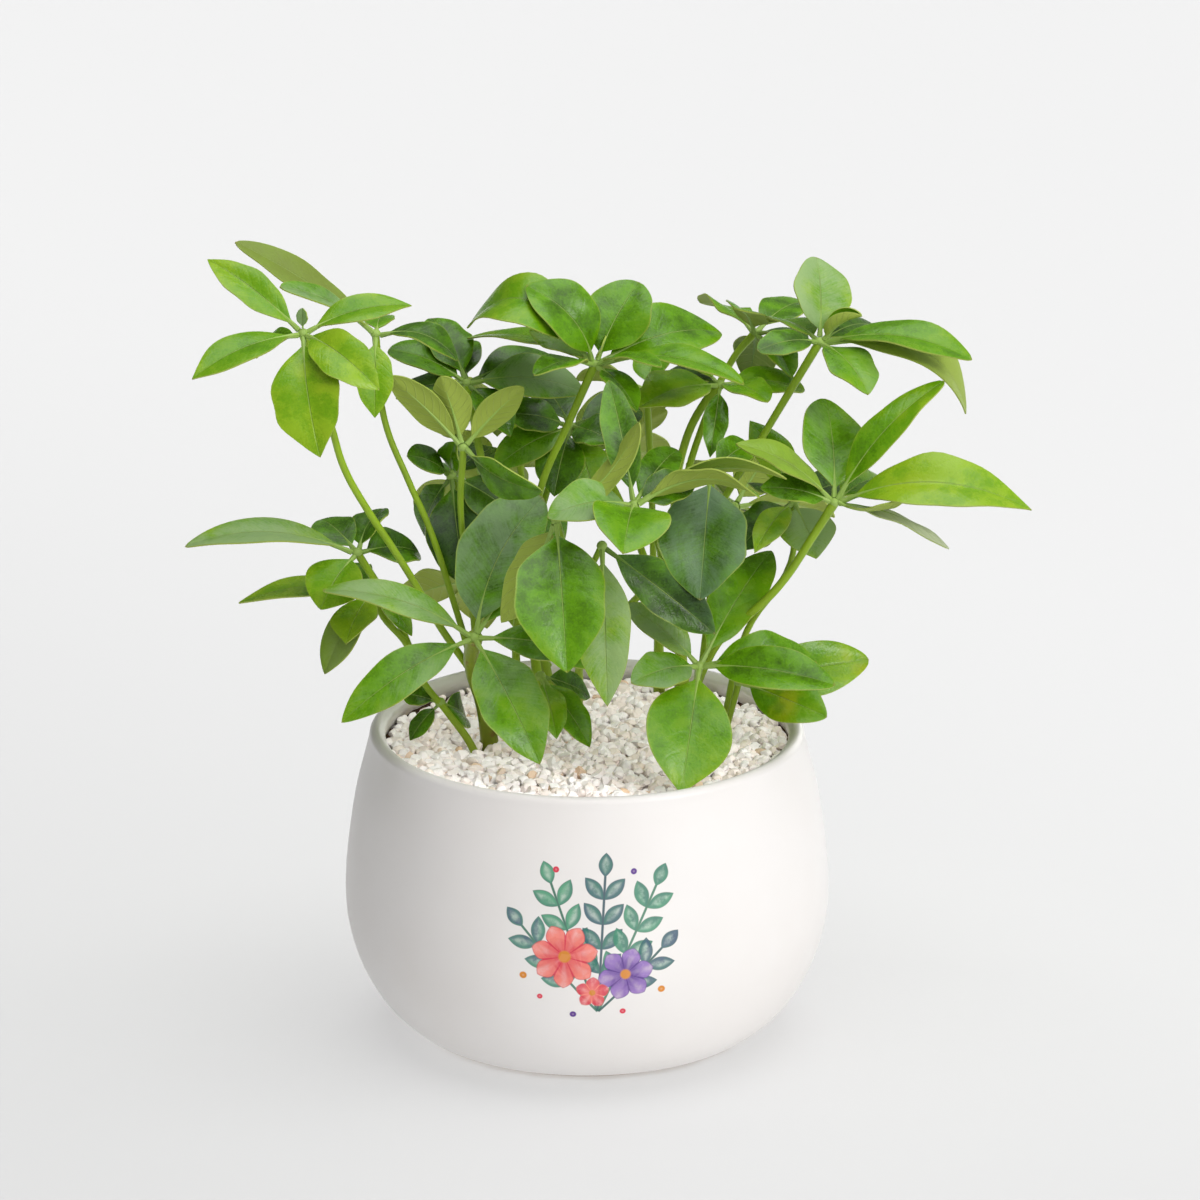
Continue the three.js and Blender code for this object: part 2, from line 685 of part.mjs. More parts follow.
/** One leaflet: a thin blade along an arched midrib, with the two halves raised from it. */
function leaflet(hub, faces, [right, rise, near, width, arch, roll, sway = 0]) {
  const offset = seen([right, rise, near]);
  const along = offset.clone().normalize();
  const start = new THREE.Vector3(...hub).addScaledVector(along, LEAFLET_SEAT);
  const reach = offset.clone().addScaledVector(along, -LEAFLET_SEAT);
  const up = seen(faces).projectOnPlane(along).normalize();
  up.applyAxisAngle(along, THREE.MathUtils.degToRad(roll));
  const side = along.clone().cross(up);
  const bend = start.clone().addScaledVector(reach, 0.5)
    .addScaledVector(up, 2 * arch * reach.length())
    .addScaledVector(side, 2 * sway * reach.length());
  const midrib = new THREE.QuadraticBezierCurve3(start, bend, start.clone().add(reach));
  const positions = [];
  /** Adds corners at a share of the midrib, each [across, above], and returns their numbers. */
  const ring = (share, corners) => {
    const point = midrib.getPoint(share);
    const tangent = midrib.getTangent(share);
    const normal = up.clone().projectOnPlane(tangent).normalize();
    const across = normal.clone().cross(tangent);
    return corners.map(([sideways, above]) => {
      const corner = point.clone()
        .addScaledVector(across, sideways)
        .addScaledVector(normal, above);
      return positions.push(...corner.toArray()) / 3 - 1;
    });
  };
  const lift = THREE.MathUtils.degToRad(BLADE_FOLD);
  const half = BLADE_THICKNESS / 2;
  const stalkSection = [150, 30, -90].map(THREE.MathUtils.degToRad)
    .map((angle) => [PETIOLULE_RADIUS * Math.cos(angle), PETIOLULE_RADIUS * Math.sin(angle)]);
  const stalkRings = PETIOLULE_SPAN.map((share) => ring(share, stalkSection));
  const bladeRings = BLADE_OUTLINE.map(([share, fullness]) => {
    const out = fullness * width / 2 * Math.cos(lift);
    const edge = fullness * width / 2 * Math.sin(lift);
    return ring(share, [
      [-out, edge + half], [0, half], [out, edge + half],
      [out, edge - half], [0, -half], [-out, edge - half],
    ]);
  });
  const indices = [
    ...stalkRings[0],
    ...joinRings(stalkRings[0], stalkRings[1]),
    ...openStalk(stalkRings[1], bladeRings[0]),
    ...bladeRings.slice(1).flatMap((next, i) => joinRings(bladeRings[i], next)),
    ...closeTip(bladeRings.at(-1), ring(1, [[0, half], [0, -half]])),
  ];
  const geometry = new THREE.BufferGeometry();
  geometry.setAttribute('position', new THREE.Float32BufferAttribute(positions, 3));
  geometry.setIndex(indices);
  return toSolid(geometry);
}

/** An umbrella's stalk, its knuckle and its leaflets, as separate solids. */
function umbrella({ hub, faces, stalk: [radius, points], leaflets }, start) {
  const knuckle = new THREE.OctahedronGeometry(HUB_RADIUS, 0).translate(...hub);
  return [
    stalk(radius, [...start, ...points, hub]),
    toSolid(knuckle),
    ...leaflets.map((row) => leaflet(hub, faces, row)),
  ];
}

function leafyStem({ name, root: [x, y, radius], umbrellas }) {
  const rooted = [[x, y, ROOT_JOIN]];
  const solids = umbrellas.flatMap((each, i) => umbrella(each, i === 0 ? rooted : []));
  solids.push(stalk(radius, [[x, y, ROOT_BOTTOM + CLEAR], [x, y, ROOT_TOP]]));
  return piece(name, solids.reduce((joined, next) => joined.add(next)), LEAF);
}

const plant = new THREE.Group();
plant.add(pot(), soil(), gravel(), ...LEAFY_STEMS.map(leafyStem));

export default plant;
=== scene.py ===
import math
import random

import bpy
import numpy as np
from bpy.props import FloatProperty, FloatVectorProperty, IntProperty, PointerProperty
from mathutils import Euler, Matrix, Vector


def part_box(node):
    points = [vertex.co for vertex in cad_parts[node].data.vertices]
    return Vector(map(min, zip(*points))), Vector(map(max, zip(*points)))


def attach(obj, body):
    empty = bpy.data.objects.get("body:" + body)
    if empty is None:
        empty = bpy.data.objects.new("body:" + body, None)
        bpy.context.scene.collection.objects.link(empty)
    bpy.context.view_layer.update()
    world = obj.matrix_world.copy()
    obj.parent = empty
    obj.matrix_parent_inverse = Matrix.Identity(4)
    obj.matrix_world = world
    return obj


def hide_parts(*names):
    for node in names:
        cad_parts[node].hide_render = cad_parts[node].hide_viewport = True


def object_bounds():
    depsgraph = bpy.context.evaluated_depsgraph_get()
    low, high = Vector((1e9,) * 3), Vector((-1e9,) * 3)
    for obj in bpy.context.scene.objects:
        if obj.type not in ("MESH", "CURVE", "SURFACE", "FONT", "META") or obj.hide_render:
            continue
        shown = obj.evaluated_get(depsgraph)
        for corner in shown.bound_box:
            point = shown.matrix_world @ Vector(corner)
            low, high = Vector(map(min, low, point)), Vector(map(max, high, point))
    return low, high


bl_info = {
    "name": "Potted Umbrella Plant",
    "version": (1, 0, 0),
    "blender": (4, 5, 0),
    "location": "View3D > Sidebar > Umbrella Plant",
    "description": "Builds a potted dwarf umbrella plant piece by piece around its packed frame",
    "category": "Add Mesh",
}

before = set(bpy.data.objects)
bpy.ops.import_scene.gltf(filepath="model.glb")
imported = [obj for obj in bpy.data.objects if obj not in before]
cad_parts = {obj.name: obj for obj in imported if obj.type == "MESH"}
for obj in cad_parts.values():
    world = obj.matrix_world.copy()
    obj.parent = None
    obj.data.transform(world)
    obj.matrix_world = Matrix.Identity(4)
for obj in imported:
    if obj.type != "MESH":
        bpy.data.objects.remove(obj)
CAD_LOW, CAD_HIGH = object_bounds()

MM = 0.001

# ------------------------------------------------------------------ places taken from the frame
POT_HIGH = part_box("pot")[1]
BELLY = POT_HIGH.x
LIP_TOP = POT_HIGH.z
GRAVEL_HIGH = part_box("gravel")[1]
SOIL_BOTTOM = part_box("soil")[0].z + 2 * MM

# The pot's outline as shares of its belly radius and its height: outside from the foot up to
# the lip, then inside back down to the floor.
OUTSIDE = (
    (0.639, 0), (0.664, 0.009), (0.744, 0.039), (0.85, 0.116), (0.939, 0.233), (0.989, 0.362),
    (1, 0.483), (0.987, 0.621), (0.956, 0.784), (0.918, 0.905), (0.9, 0.961),
)
LIP = ((0.893, 0.988), (0.87, 1), (0.845, 0.993), (0.83, 0.971))
INSIDE = (
    (0.856, 0.905), (0.896, 0.784), (0.94, 0.534), (0.929, 0.362), (0.879, 0.241), (0.8, 0.129),
    (0.667, 0.052),
)

MOUTH = 0.9  # the outline's points within this radius give the wall near the mouth

SOIL_RIM = 0.9  # share of the soil's radius where it starts to swell towards the wall
SOIL_SWELL = 1.6 * MM
SOIL_LUMPS = 0.35 * MM
SOIL_NARROWS = 0.72  # size of the soil's bottom, as a share of its top

# The layers of chips: how deep they lie, how far apart and how large they are. What follows is
# given as shares of the distance between chips or of a chip's size.
CHIP_LAYERS = ((0.0, 1.0, 1.0), (-1.5 * MM, 0.98, 1.1), (-3.0 * MM, 1.15, 1.3))
CHIP_SHAPES = 5
CHIP_ROW = 0.866  # distance between two rows
CHIP_STRAY = 0.33  # how far a chip lies from its place in the row
CHIP_SIZES = (0.7, 1.2)
CHIP_DEPTH = 0.9  # how far its middle lies under the top of the gravel
CHIP_REACH = 0.84  # how far it reaches towards the wall
STEM_ROOM = 1.2  # millimetres between a stem's side and the middle of a chip

# ------------------------------------------------------------------ the foliage, in millimetres
# The foliage is laid out as seen from the front, along a line that looks down a little.
LOOK_DOWN = math.radians(18.4)
RIGHT = np.array((1, 0, 0))
RISE = np.array((0, math.sin(LOOK_DOWN), math.cos(LOOK_DOWN)))
NEAR = np.array((0, -math.cos(LOOK_DOWN), math.sin(LOOK_DOWN)))

# Each leafy stem has its root, (x, y, radius), and its umbrellas. An umbrella has its hub, the
# way its leaflets' upper sides face, (right, rise, near), its stalk's radius and the points that
# the stalk passes, a letter for each leaflet's look, and its leaflets: the tip's offset from the
# hub, (right, rise, near), the width and, where they aren't the usual ones, the arch, the roll in
# degrees and the sway.
USUAL_SHAPE = (0.1, 0, 0)
STEMS = {
    "stem_left": ((-36, 0, 3.3), (
        ((-41, -25, 159), (-0.1, 0.6, 0.8), 3, ((-38, 0, 124), (-42, -4, 139)), "fvsmmf", (
            (-48, -31, 12, 18, 0.13, -10), (-55, 17, 6, 16, 0.12, 10),
            (25, 51, -6, 30, 0.08, 15, -0.08), (33, 46, -14, 20, 0.08, 20), (55, -11, 4, 17),
            (24, -46, 18, 25))),
        ((-102, -30, 276), (-0.3, 0.7, 0.6), 1.7, ((-42, -1, 137), (-54, -6, 157), (-63, -10, 175),
            (-71, -14, 190), (-80, -18, 206), (-88, -22, 223), (-92, -24, 238)), "bybbbmv", (
            (-39, -17, 15, 18, 0.09), (7, -45, 20, 26), (28, -21, 18, 18, 0.2, 10),
            (39, 10, -5, 15), (-35, 27, -15, 15, 0.08), (-17, -8, -20, 12), (0, 9, 2, 5, 0))),
        ((-77, 10, 264), (0, 0.8, 0.5), 1.6, ((-42, -3, 141), (-49, -1, 165), (-58, 2, 193),
            (-65, 4, 209), (-74, 8, 232)), "nbmks", ((30, -10, 0, 16, 0.2), (0, -31, 10, 14, 0.12),
            (2, 7, -20, 12), (-51, 33, 5, 17, 0.04), (-34, 16, 24, 14, 0.08))),
        ((-45, -5, 225), (0, 0.7, -0.7), 1.5, ((-40, -2, 132), (-42, -6, 165),
            (-46, -6, 201)), "mmmnm", ((-27, 26, 5, 14, 0.05), (-8, 26, 5, 15, 0.05),
            (22, 22, 5, 14, 0.05), (29, -16, 18, 17, 0.1, 180), (-18, 20, -8, 12, 0.05))),
        ((-17, -10, 139), (0.1, 0.6, 0.8), 1.2, ((-38, -2, 124), (-28, -8, 131)), "mld", (
            (18, -26, 8, 14, 0.08), (6, -23, 14, 12, 0.08), (18, -8, -12, 13, 0.08))),
    )),
    "stalk_far_left": ((-42, -8, 1.6), (
        ((-78, 0, 169), (-0.2, 0.8, 0.4), 1.6, ((-51, -6, 123), (-61, -4, 136), (-66, -2, 148),
            (-76, -1, 161)), "yyufm", ((-50, -5, -5, 16, 0.08), (-10, -20, 14, 19, 0.08),
            (-18, -31, 4, 17, 0.08, -10), (14, -17, 10, 9), (-16, 4, -28, 17))),
        ((-84, -5, 185), (-0.1, 0.7, 0.6), 1.6, ((-61, -4, 136), (-70, 1, 158)), "vlnnd", (
            (-63, 2, 0, 18, 0.12, 10), (-13, -21, 9, 24), (-14, 12, -20, 16),
            (9, 16, -16, 16, 0.1, -20), (22, 0, -17, 20, 0.1, 10))),
        ((-54, -5, 127), (-0.2, 0.5, 0.8), 1, ((-52, -6, 124),), "nmm", ((-11, -14, 4, 8, 0.08),
            (9, -6, -18, 15, 0.08, 40), (-14, 3, -6, 9, 0.08))),
    )),
    "stem_mid_left": ((-16, 22, 2.4), (
        ((-44, 24, 241), (0, 0.8, 0.5), 1.8, ((-22, 24, 150), (-36, 19, 200)), "dsdnndd", (
            (-4, 16, -25, 17), (43, -4, 4, 22, 0.12, 10), (33, 9, -15, 18, 0.1, 10),
            (-29, 12, -5, 20), (-13, 24, -15, 19), (-26, -6, 2, 18), (16, -20, 8, 18))),
        ((-50, 22, 206), (-0.2, 0.6, 0.7), 1.5, ((-22, 24, 150), (-40, 30, 182)), "ddnmdd", (
            (6, -42, 8, 25, 0.08), (-16, 7, 12, 15), (27, -18, 4, 20), (2, 12, 8, 13),
            (-10, -22, -14, 18), (18, 10, -20, 18))),
    )),
    "stem_centre": ((-22, 10, 2.2), (
        ((3, 5, 254), (0, 0.9, 0.3), 1.8, ((-26, 9, 135), (-24, 6, 170), (-17, 1, 207),
            (-14, 2, 216), (-8, 3, 229)), "mlnlfnmmmmm", ((-25, 28, 8, 25, 0.24, -45),
            (-46, 14, -14, 26, 0.5, -30), (-22, -5, 24, 14), (-47, 10, -28, 15),
            (-24, 12, -4, 14, 0.1, -20), (16, 30, -10, 27, 0.1, 20), (46, 12, -23, 26, 0.15, 35),
            (54, -8, 14, 19, 0.12), (24, -2, 26, 11), (4, 10, 4, 7, 0), (15, -18, 14, 14))),
        ((-6, 28, 223), (0, 0.6, 0.7), 1.5, ((-24, 8, 160), (-16, 22, 195)), "nndddff", (
            (-6, -26, 12, 19), (-24, 4, 8, 18), (15, -6, 12, 18), (26, 6, -16, 18),
            (-10, 14, -24, 18), (-28, -16, 10, 18), (10, -30, 8, 18))),
    )),
    "stem_front": ((-4, 25, 2.4), (
        ((-11, -38, 208), (0, 0.5, 0.85), 1.7, ((-3, 10, 135), (-5, -18, 175)), "mmm", (
            (4, -55, 22, 35, 0.08), (30, 35, 9, 14, 0.1, 150), (-20, -37, -12, 19, 0.1, 180))),
        ((5.5, -34, 197), (0, 0.3, 0.95), 1.3, ((-5, -18, 175), (1, -27, 186)), "vd", (
            (2, -58, 14, 20, 0.08), (41, -32, -6, 20, 0.05))),
        ((17, -35, 213), (0, 0.6, 0.8), 1.7, ((-3, 10, 135), (13, -1, 160),
            (27, -20, 187)), "msnmonn", ((-4, -18, 34, 30), (-31, -5, 12, 20, 0.15),
            (-9, 45, -9, 14), (45, 2, 20, 16, 0.2, -80), (55, 9, 8, 13, 0.16, -70),
            (22, 8, -10, 16), (16, 20, -26, 14))),
    )),
    "stem_back_right": ((36, 50, 2.8), (
        ((49, 25, 240), (0.1, 0.8, 0.5), 1.9, ((34, 41, 150), (32, 29, 185), (36, 23, 218),
            (43, 24, 233)), "lbblmd", ((17, -7, 22, 16), (-30, -9, 18, 24), (-19, 13, -10, 10),
            (31, -2, -5, 18), (-4, -27, 12, 10), (-24, 2, -22, 20))),
        ((62, 45, 254), (0.2, 0.8, 0.2), 1.6, ((32, 29, 185), (42, 38, 218),
            (54, 42, 245)), "mdmmmd", ((-8, 8, 24, 18), (18, -5, 16, 16, 0.1, 10),
            (13, -17, 14, 15), (-20, 12, -25, 18), (20, 12, -28, 18), (-2, -18, -30, 18))),
        ((85, 10, 261), (0.2, 0.8, 0.4), 1.7, ((34, 41, 150), (47, 22, 190),
            (66, 12, 227)), "vcmofnln", ((-1, 31, -12, 24, 0.08), (15, 9, 8, 13),
            (55, -7, 8, 20, 0.12, 10), (54, -26, -21, 19, 0.3, 25), (17, -20, 20, 21),
            (-23, -4, 14, 13, 0.1, -10), (-18, 8, -24, 17), (22, 6, -30, 18))),
    )),
    "stem_right": ((38, 5, 2.4), (
        ((90, -20, 209), (0.2, 0.8, 0.4), 1.9, ((40, -2, 130), (45, -9, 146), (50, -12, 155),
            (60, -15, 165), (70, -17, 176), (83, -19, 197)), "ylfwnspf", (
            (71, -3, 10, 25, 0.2, 28), (40, 44, -2, 15, 0.13, 10), (-3, 38, -20, 25, 0.08),
            (-36, 21, 5, 18), (-27, 5, 4, 16, 0.1, -20), (25, 1, 20, 9, -0.12, -14),
            (41, -17, 12, 9, -0.09, 173), (20, 8, -36, 20))),
        ((41, -28, 149), (0.1, 0.6, 0.8), 1.6, ((39, 3, 118), (40, -12, 134)), "lsvmmm", (
            (-7, -46, 23, 32, 0.08), (-25, -6, 22, 17), (-27, 22, 0, 15),
            (49, -7, 14, 20, 0.1, 10), (43, 1, -10, 19, 0.15, 10), (27, 42, -34, 20))),
        ((45, -11, 218), (0, 0.4, 0.9), 1.5, ((42, -6, 139), (46, 0, 180)), "gm", (
            (-4, -47, 15, 34, 0.06), (14, 10, -14, 14))),
    )),
    "stalk_right_low": ((50, -2, 1.3), (
        ((56, -2, 134), (0.1, 0.8, 0.5), 1.3, ((53, -2, 122),), "xx", ((32, -13, 10, 21, 0.05, 40),
            (48, 8, -12, 22, 0.06, 45))),
    )),
    "stalk_right_back": ((50, 14, 1.4), (
        ((76, 15, 198), (0, 0.7, 0.6), 1.4, ((59, 12, 149), (75, 14, 175)), "vdybdd", (
            (8, -21, 12, 22), (-20, -18, 6, 20), (-15, -19, 26, 12), (-16, 30, -12, 16),
            (24, 6, -24, 18), (-12, 6, -30, 18))),
    )),
    "stem_back_left": ((-12, 42, 2.2), (
        ((-38, 56, 190), (-0.3, 0.7, -0.5), 1.7, ((-22, 46, 150),), "mmdmm", ((-26, -8, -20, 20),
            (-20, 8, -42, 22), (14, 0, -48, 20), (-8, 22, -4, 18), (24, 20, -8, 18))),
        ((-40, 62, 152), (-0.2, 0.7, -0.6), 1.5, ((-14, 44, 124),), "mmd", ((-32, -10, -16, 20),
            (2, -18, -34, 22), (28, -6, -26, 18))),
        ((-28, 62, 222), (-0.1, 0.8, -0.4), 1.5, ((-22, 46, 150), (-24, 54, 190)), "mbmm", (
            (-26, 4, -18, 18), (-6, -12, -38, 20), (20, 4, -28, 18), (-2, 18, -18, 17))),
    )),
    "stem_back_middle": ((27, 57, 2.2), (
        ((4, 74, 196), (0, 0.7, -0.6), 1.7, ((25, 55, 150), (15, 65, 176)), "mbmdm", (
            (-32, -2, -24, 20), (-4, -14, -42, 24), (28, 0, -32, 20), (2, 26, -14, 18),
            (26, 18, 2, 18))),
        ((55, 66, 180), (0.4, 0.7, -0.5), 1.6, ((27, 56, 130), (39, 60, 154)), "mbmmd", (
            (38, -4, -14, 20), (12, -12, -42, 22), (-10, -8, -40, 20), (18, 26, -6, 18),
            (-18, 16, -8, 18))),
        ((22, 58, 228), (0.1, 0.8, -0.4), 1.5, ((25, 55, 150), (24, 56, 190)), "mmbm", (
            (-26, 4, -18, 18), (20, 0, -32, 20), (-4, -14, -36, 20), (6, 16, -20, 17))),
    )),
}

# What each letter stands for: how bright the green is, partly the leaflet's own colour and partly
# painted light and shade for how lit or shaded it lies, how much dust and painted silvery sheen
# lies on it, how olive it is, how yellow its blotches are and, in radians, how far the blade rolls
# up. A leaflet that is brighter than 1 is nearly white below.
LOOKS = {
    "y": (0.9, 0.05, 0, 0.2, 0), "b": (0.8, 0.15, 0, 0, 0),
    "l": (0.68, 0.15, 0, 0.1, 0), "m": (0.54, 0.15, 0, 0, 0),
    "n": (0.38, 0.35, 0, 0, 0), "d": (0.22, 0.45, 0, 0, 0),
    "s": (0.52, 0.85, 0, 0, 0), "v": (0.82, 0.9, 0, 0, 0),
    "g": (0.28, 0.85, 0, 0, 0), "o": (0.55, 0, 1.0, 0, 0),
    "u": (0.45, 0.8, 0.6, 0, 0), "x": (0.7, 0.2, 0, 1.0, 0),
    "c": (0.7, 0.3, 0, 0, 1.9), "k": (0.3, 0, 1.0, 0, 0),
    "f": (0.64, 0.55, 0, 0, 0), "w": (0.6, 0.1, 0.55, 0, 0),
    "p": (1.2, 0.9, 0, 0, 0),
}

LEAFLET_SEAT = 1.9 * MM  # how far from its hub a leaflet starts
BLADE_START = 0.07  # share of a leaflet's length where its blade begins
BLADE_FOLD = math.radians(10)  # least slope of a blade's halves
RIB_RINGS = 14
RIB_END = 0.93  # share of a leaflet's length where its midrib fades out
KNUCKLE = 2 * MM  # radius of the swollen joint at a hub
ROOT_DEPTH = 96  # level in the gravel where a stem's mesh starts
GROUND = 110  # level where a stem comes out of the gravel
MAIN_STEM = 2  # least radius of an olive, woody stem
SLENDER = 0.87  # how much thinner the leaf stalks are than their solids
WAIST, HEAD = 0.92, 1.08  # a stalk's radius along its way and at its hub, as shares
ROOT_LEAN = 0.45  # how much of a stem's first lean goes on below the gravel
FULL_TURN = 2 * math.pi


# ------------------------------------------------------------------ settings
class PotSettings(bpy.types.PropertyGroup):
    """Sizes and colours of the ceramic pot."""

    sides: IntProperty(name="Sides", description="Facets round the pot", default=144, min=24)
    glaze: FloatVectorProperty(
        name="Glaze", description="Colour of the satin glaze", subtype="COLOR",
        default=(0.81, 0.787, 0.77))
    clay: FloatVectorProperty(
        name="Bare clay", description="Colour of the unglazed line at the foot", subtype="COLOR",
        default=(0.36, 0.24, 0.13))
    foot_line: FloatProperty(
        name="Foot line", description="Height of the unglazed line", default=1.3 * MM,
        unit="LENGTH")


class BedSettings(bpy.types.PropertyGroup):
    """Sizes of the soil and the gravel on it, and the seed of the chips' places."""

    soil_level: FloatProperty(
        name="Soil level", description="Height of the soil", default=106.2 * MM, unit="LENGTH")
    chip_pitch: FloatProperty(
        name="Chip spacing", description="Distance between chips", default=4.3 * MM,
        unit="LENGTH")
    chip_size: FloatProperty(
        name="Chip size", description="Half the length of a common chip", default=3.05 * MM,
        unit="LENGTH")
    seed: IntProperty(name="Seed", description="Seed of the chips' places", default=11)


class FoliageSettings(bpy.types.PropertyGroup):
    """Sizes and colours of the stalks and leaflets."""

    thickness: FloatProperty(
        name="Blade thickness", description="Thickness of a leaflet", default=0.55 * MM,
        unit="LENGTH")
    young: FloatVectorProperty(
        name="Young leaf", description="Colour of a young leaflet in full light",
        subtype="COLOR", default=(0.28, 0.47, 0.014))
    mature: FloatVectorProperty(
        name="Mature leaf", description="Colour of a mature leaflet", subtype="COLOR",
        default=(0.122, 0.318, 0.002))
    shaded: FloatVectorProperty(
        name="Shaded leaf", description="Colour of an old leaflet in the shade",
        subtype="COLOR", default=(0.02, 0.058, 0.002))
    underside: FloatVectorProperty(
        name="Underside", description="Colour of the leaflets' matte undersides",
        subtype="COLOR", default=(0.38, 0.49, 0.075))
    stalk: FloatVectorProperty(
        name="Stalk", description="Colour of the leaf stalks", subtype="COLOR",
        default=(0.33, 0.52, 0.02))


class StageSettings(bpy.types.PropertyGroup):
    """Camera and studio light."""

    focal_length: FloatProperty(
        name="Focal length", description="Focal length of the camera, in millimetres",
        default=245.2)
    distance: FloatProperty(
        name="Distance", description="Distance of the camera", default=3.0, unit="LENGTH")
    look_down: FloatProperty(
        name="Look down", description="How far the camera looks down", default=LOOK_DOWN,
        subtype="ANGLE")
    key: FloatProperty(name="Key light", description="Strength of the key light", default=0.88)
    front: FloatProperty(
        name="Front light", description="Strength of the light from the front", default=0.58)
    top: FloatProperty(name="Top light", description="Strength of the light above", default=1.55)
    wash: FloatProperty(
        name="Floor wash", description="Strength of the light on the floor alone", default=2.7)
    bed: FloatProperty(
        name="Gravel light", description="Strength of the light on the gravel alone", default=1.32)
    low: FloatProperty(
        name="Pot light", description="Strength of the low lights on the pot alone", default=0.68)
    air: FloatProperty(name="Air", description="Strength of the even light", default=1.0)


# ------------------------------------------------------------------ shader maths
class Term:
    """A socket of a material, so that shader maths reads as Python expressions."""

    def __init__(self, maker, socket):
        self.maker = maker
        self.socket = socket

    def __add__(self, other):
        return self.maker.math("ADD", self, other)

    def __sub__(self, other):
        return self.maker.math("SUBTRACT", self, other)

    def __rsub__(self, other):
        return self.maker.math("SUBTRACT", other, self)

    def __mul__(self, other):
        return self.maker.math("MULTIPLY", self, other)

    def __truediv__(self, other):
        return self.maker.math("DIVIDE", self, other)

    def __pow__(self, other):
        return self.maker.math("POWER", self, other)

    def __abs__(self):
        return self.maker.math("ABSOLUTE", self)

    __radd__ = __add__
    __rmul__ = __mul__

    def fraction(self):
        return self.maker.math("FRACT", self)

    def smooth(self, low, high):
        """0 below low, 1 above high and a soft step between them."""
        return self.maker.node(
            "ShaderNodeMapRange", {"interpolation_type": "SMOOTHSTEP"},
            {"Value": self, "From Min": low, "From Max": high})

    def beside(self, output):
        """Another output of the same node."""
        return Term(self.maker, self.socket.node.outputs[output])


class Maker:
    """Adds the nodes of a material or of the studio's air."""

    def __init__(self, tree, coordinates="Object"):
        self.tree = tree
        self.place = self.node("ShaderNodeTexCoord", output=coordinates)

    def node(self, kind, settings=None, inputs=None, output=0):
        made = self.tree.nodes.new(kind)
        for key, value in (settings or {}).items():
            if key == "stops":
                self.set_stops(made.color_ramp, value)
            else:
                setattr(made, key, value)
        for key, value in (inputs or {}).items():
            self.join(made.inputs[key], value)
        return Term(self, made.outputs[output])

    def math(self, operation, *values):
        return self.node("ShaderNodeMath", {"operation": operation}, dict(enumerate(values)))

    @staticmethod
    def set_stops(ramp, stops):
        while len(ramp.elements) < len(stops):
            ramp.elements.new(0.5)
        for element, (position, colour) in zip(ramp.elements, stops):
            element.position = position
            element.color = (*colour, 1)

    def join(self, socket, value):
        if isinstance(value, Term):
            self.tree.links.new(value.socket, socket)
        elif socket.type == "RGBA" and len(value) == 3:
            socket.default_value = (*value, 1)
        else:
            socket.default_value = value

    def noise(self, scale, detail=2.0, roughness=0.5, place=None, distortion=0.0):
        return self.node("ShaderNodeTexNoise", None, {
            "Vector": place or self.place, "Scale": scale, "Detail": detail,
            "Roughness": roughness, "Distortion": distortion})

    def attribute(self, name, output):
        return self.node("ShaderNodeAttribute", {"attribute_name": name}, output=output)

    def xyz(self, vector):
        split = self.node("ShaderNodeSeparateXYZ", None, {"Vector": vector})
        return [split.beside(i) for i in range(3)]

    def mix(self, share, first, second):
        return self.node(
            "ShaderNodeMix", {"data_type": "RGBA"}, {0: share, 6: first, 7: second}, output=2)

    def layers(self, colour, *coats):
        """The colour with each coat, a share and a colour, laid over it in turn."""
        for share, coat in coats:
            colour = self.mix(share, colour, coat)
        return colour

    def ramp(self, value, stops):
        return self.node("ShaderNodeValToRGB", {"stops": stops}, {"Fac": value})

    def bump(self, height, distance, strength=1.0):
        return self.node("ShaderNodeBump", None, {
            "Height": height, "Distance": distance, "Strength": strength})


class MaterialMaker(Maker):
    """Makes one material."""

    def __init__(self, name):
        self.material = bpy.data.materials.new(name)
        self.material.use_nodes = True
        super().__init__(self.material.node_tree)

    def finish(self, colour, roughness, normal=None, **constants):
        """Joins what varies to the shader and sets what is the same all over."""
        sockets = self.tree.nodes["Principled BSDF"].inputs
        self.join(sockets["Base Color"], colour)
        self.join(sockets["Roughness"], roughness)
        if normal is not None:
            self.join(sockets["Normal"], normal)
        for name, value in constants.items():
            sockets[name.replace("_", " ")].default_value = value
        return self.material


# ------------------------------------------------------------------ finishes
def between(first, second, share):
    """A colour part of the way from the first to the second."""
    return tuple(a + (b - a) * share for a, b in zip(first, second))


def darker(colour, share):
    return between(colour, (0, 0, 0), share)


TEAL = (0.008, 0.16, 0.11)
SAGE = (0.06, 0.33, 0.17)
SLATE = (0.025, 0.075, 0.15)
CORAL = (0.66, 0.02, 0.06)
BLUSH = (0.86, 0.22, 0.17)
VIOLET = (0.09, 0.018, 0.24)
LILAC = (0.3, 0.16, 0.5)
OCHRE = (0.66, 0.23, 0.01)
PETAL_LIGHT = (0.93, 0.8, 0.76)

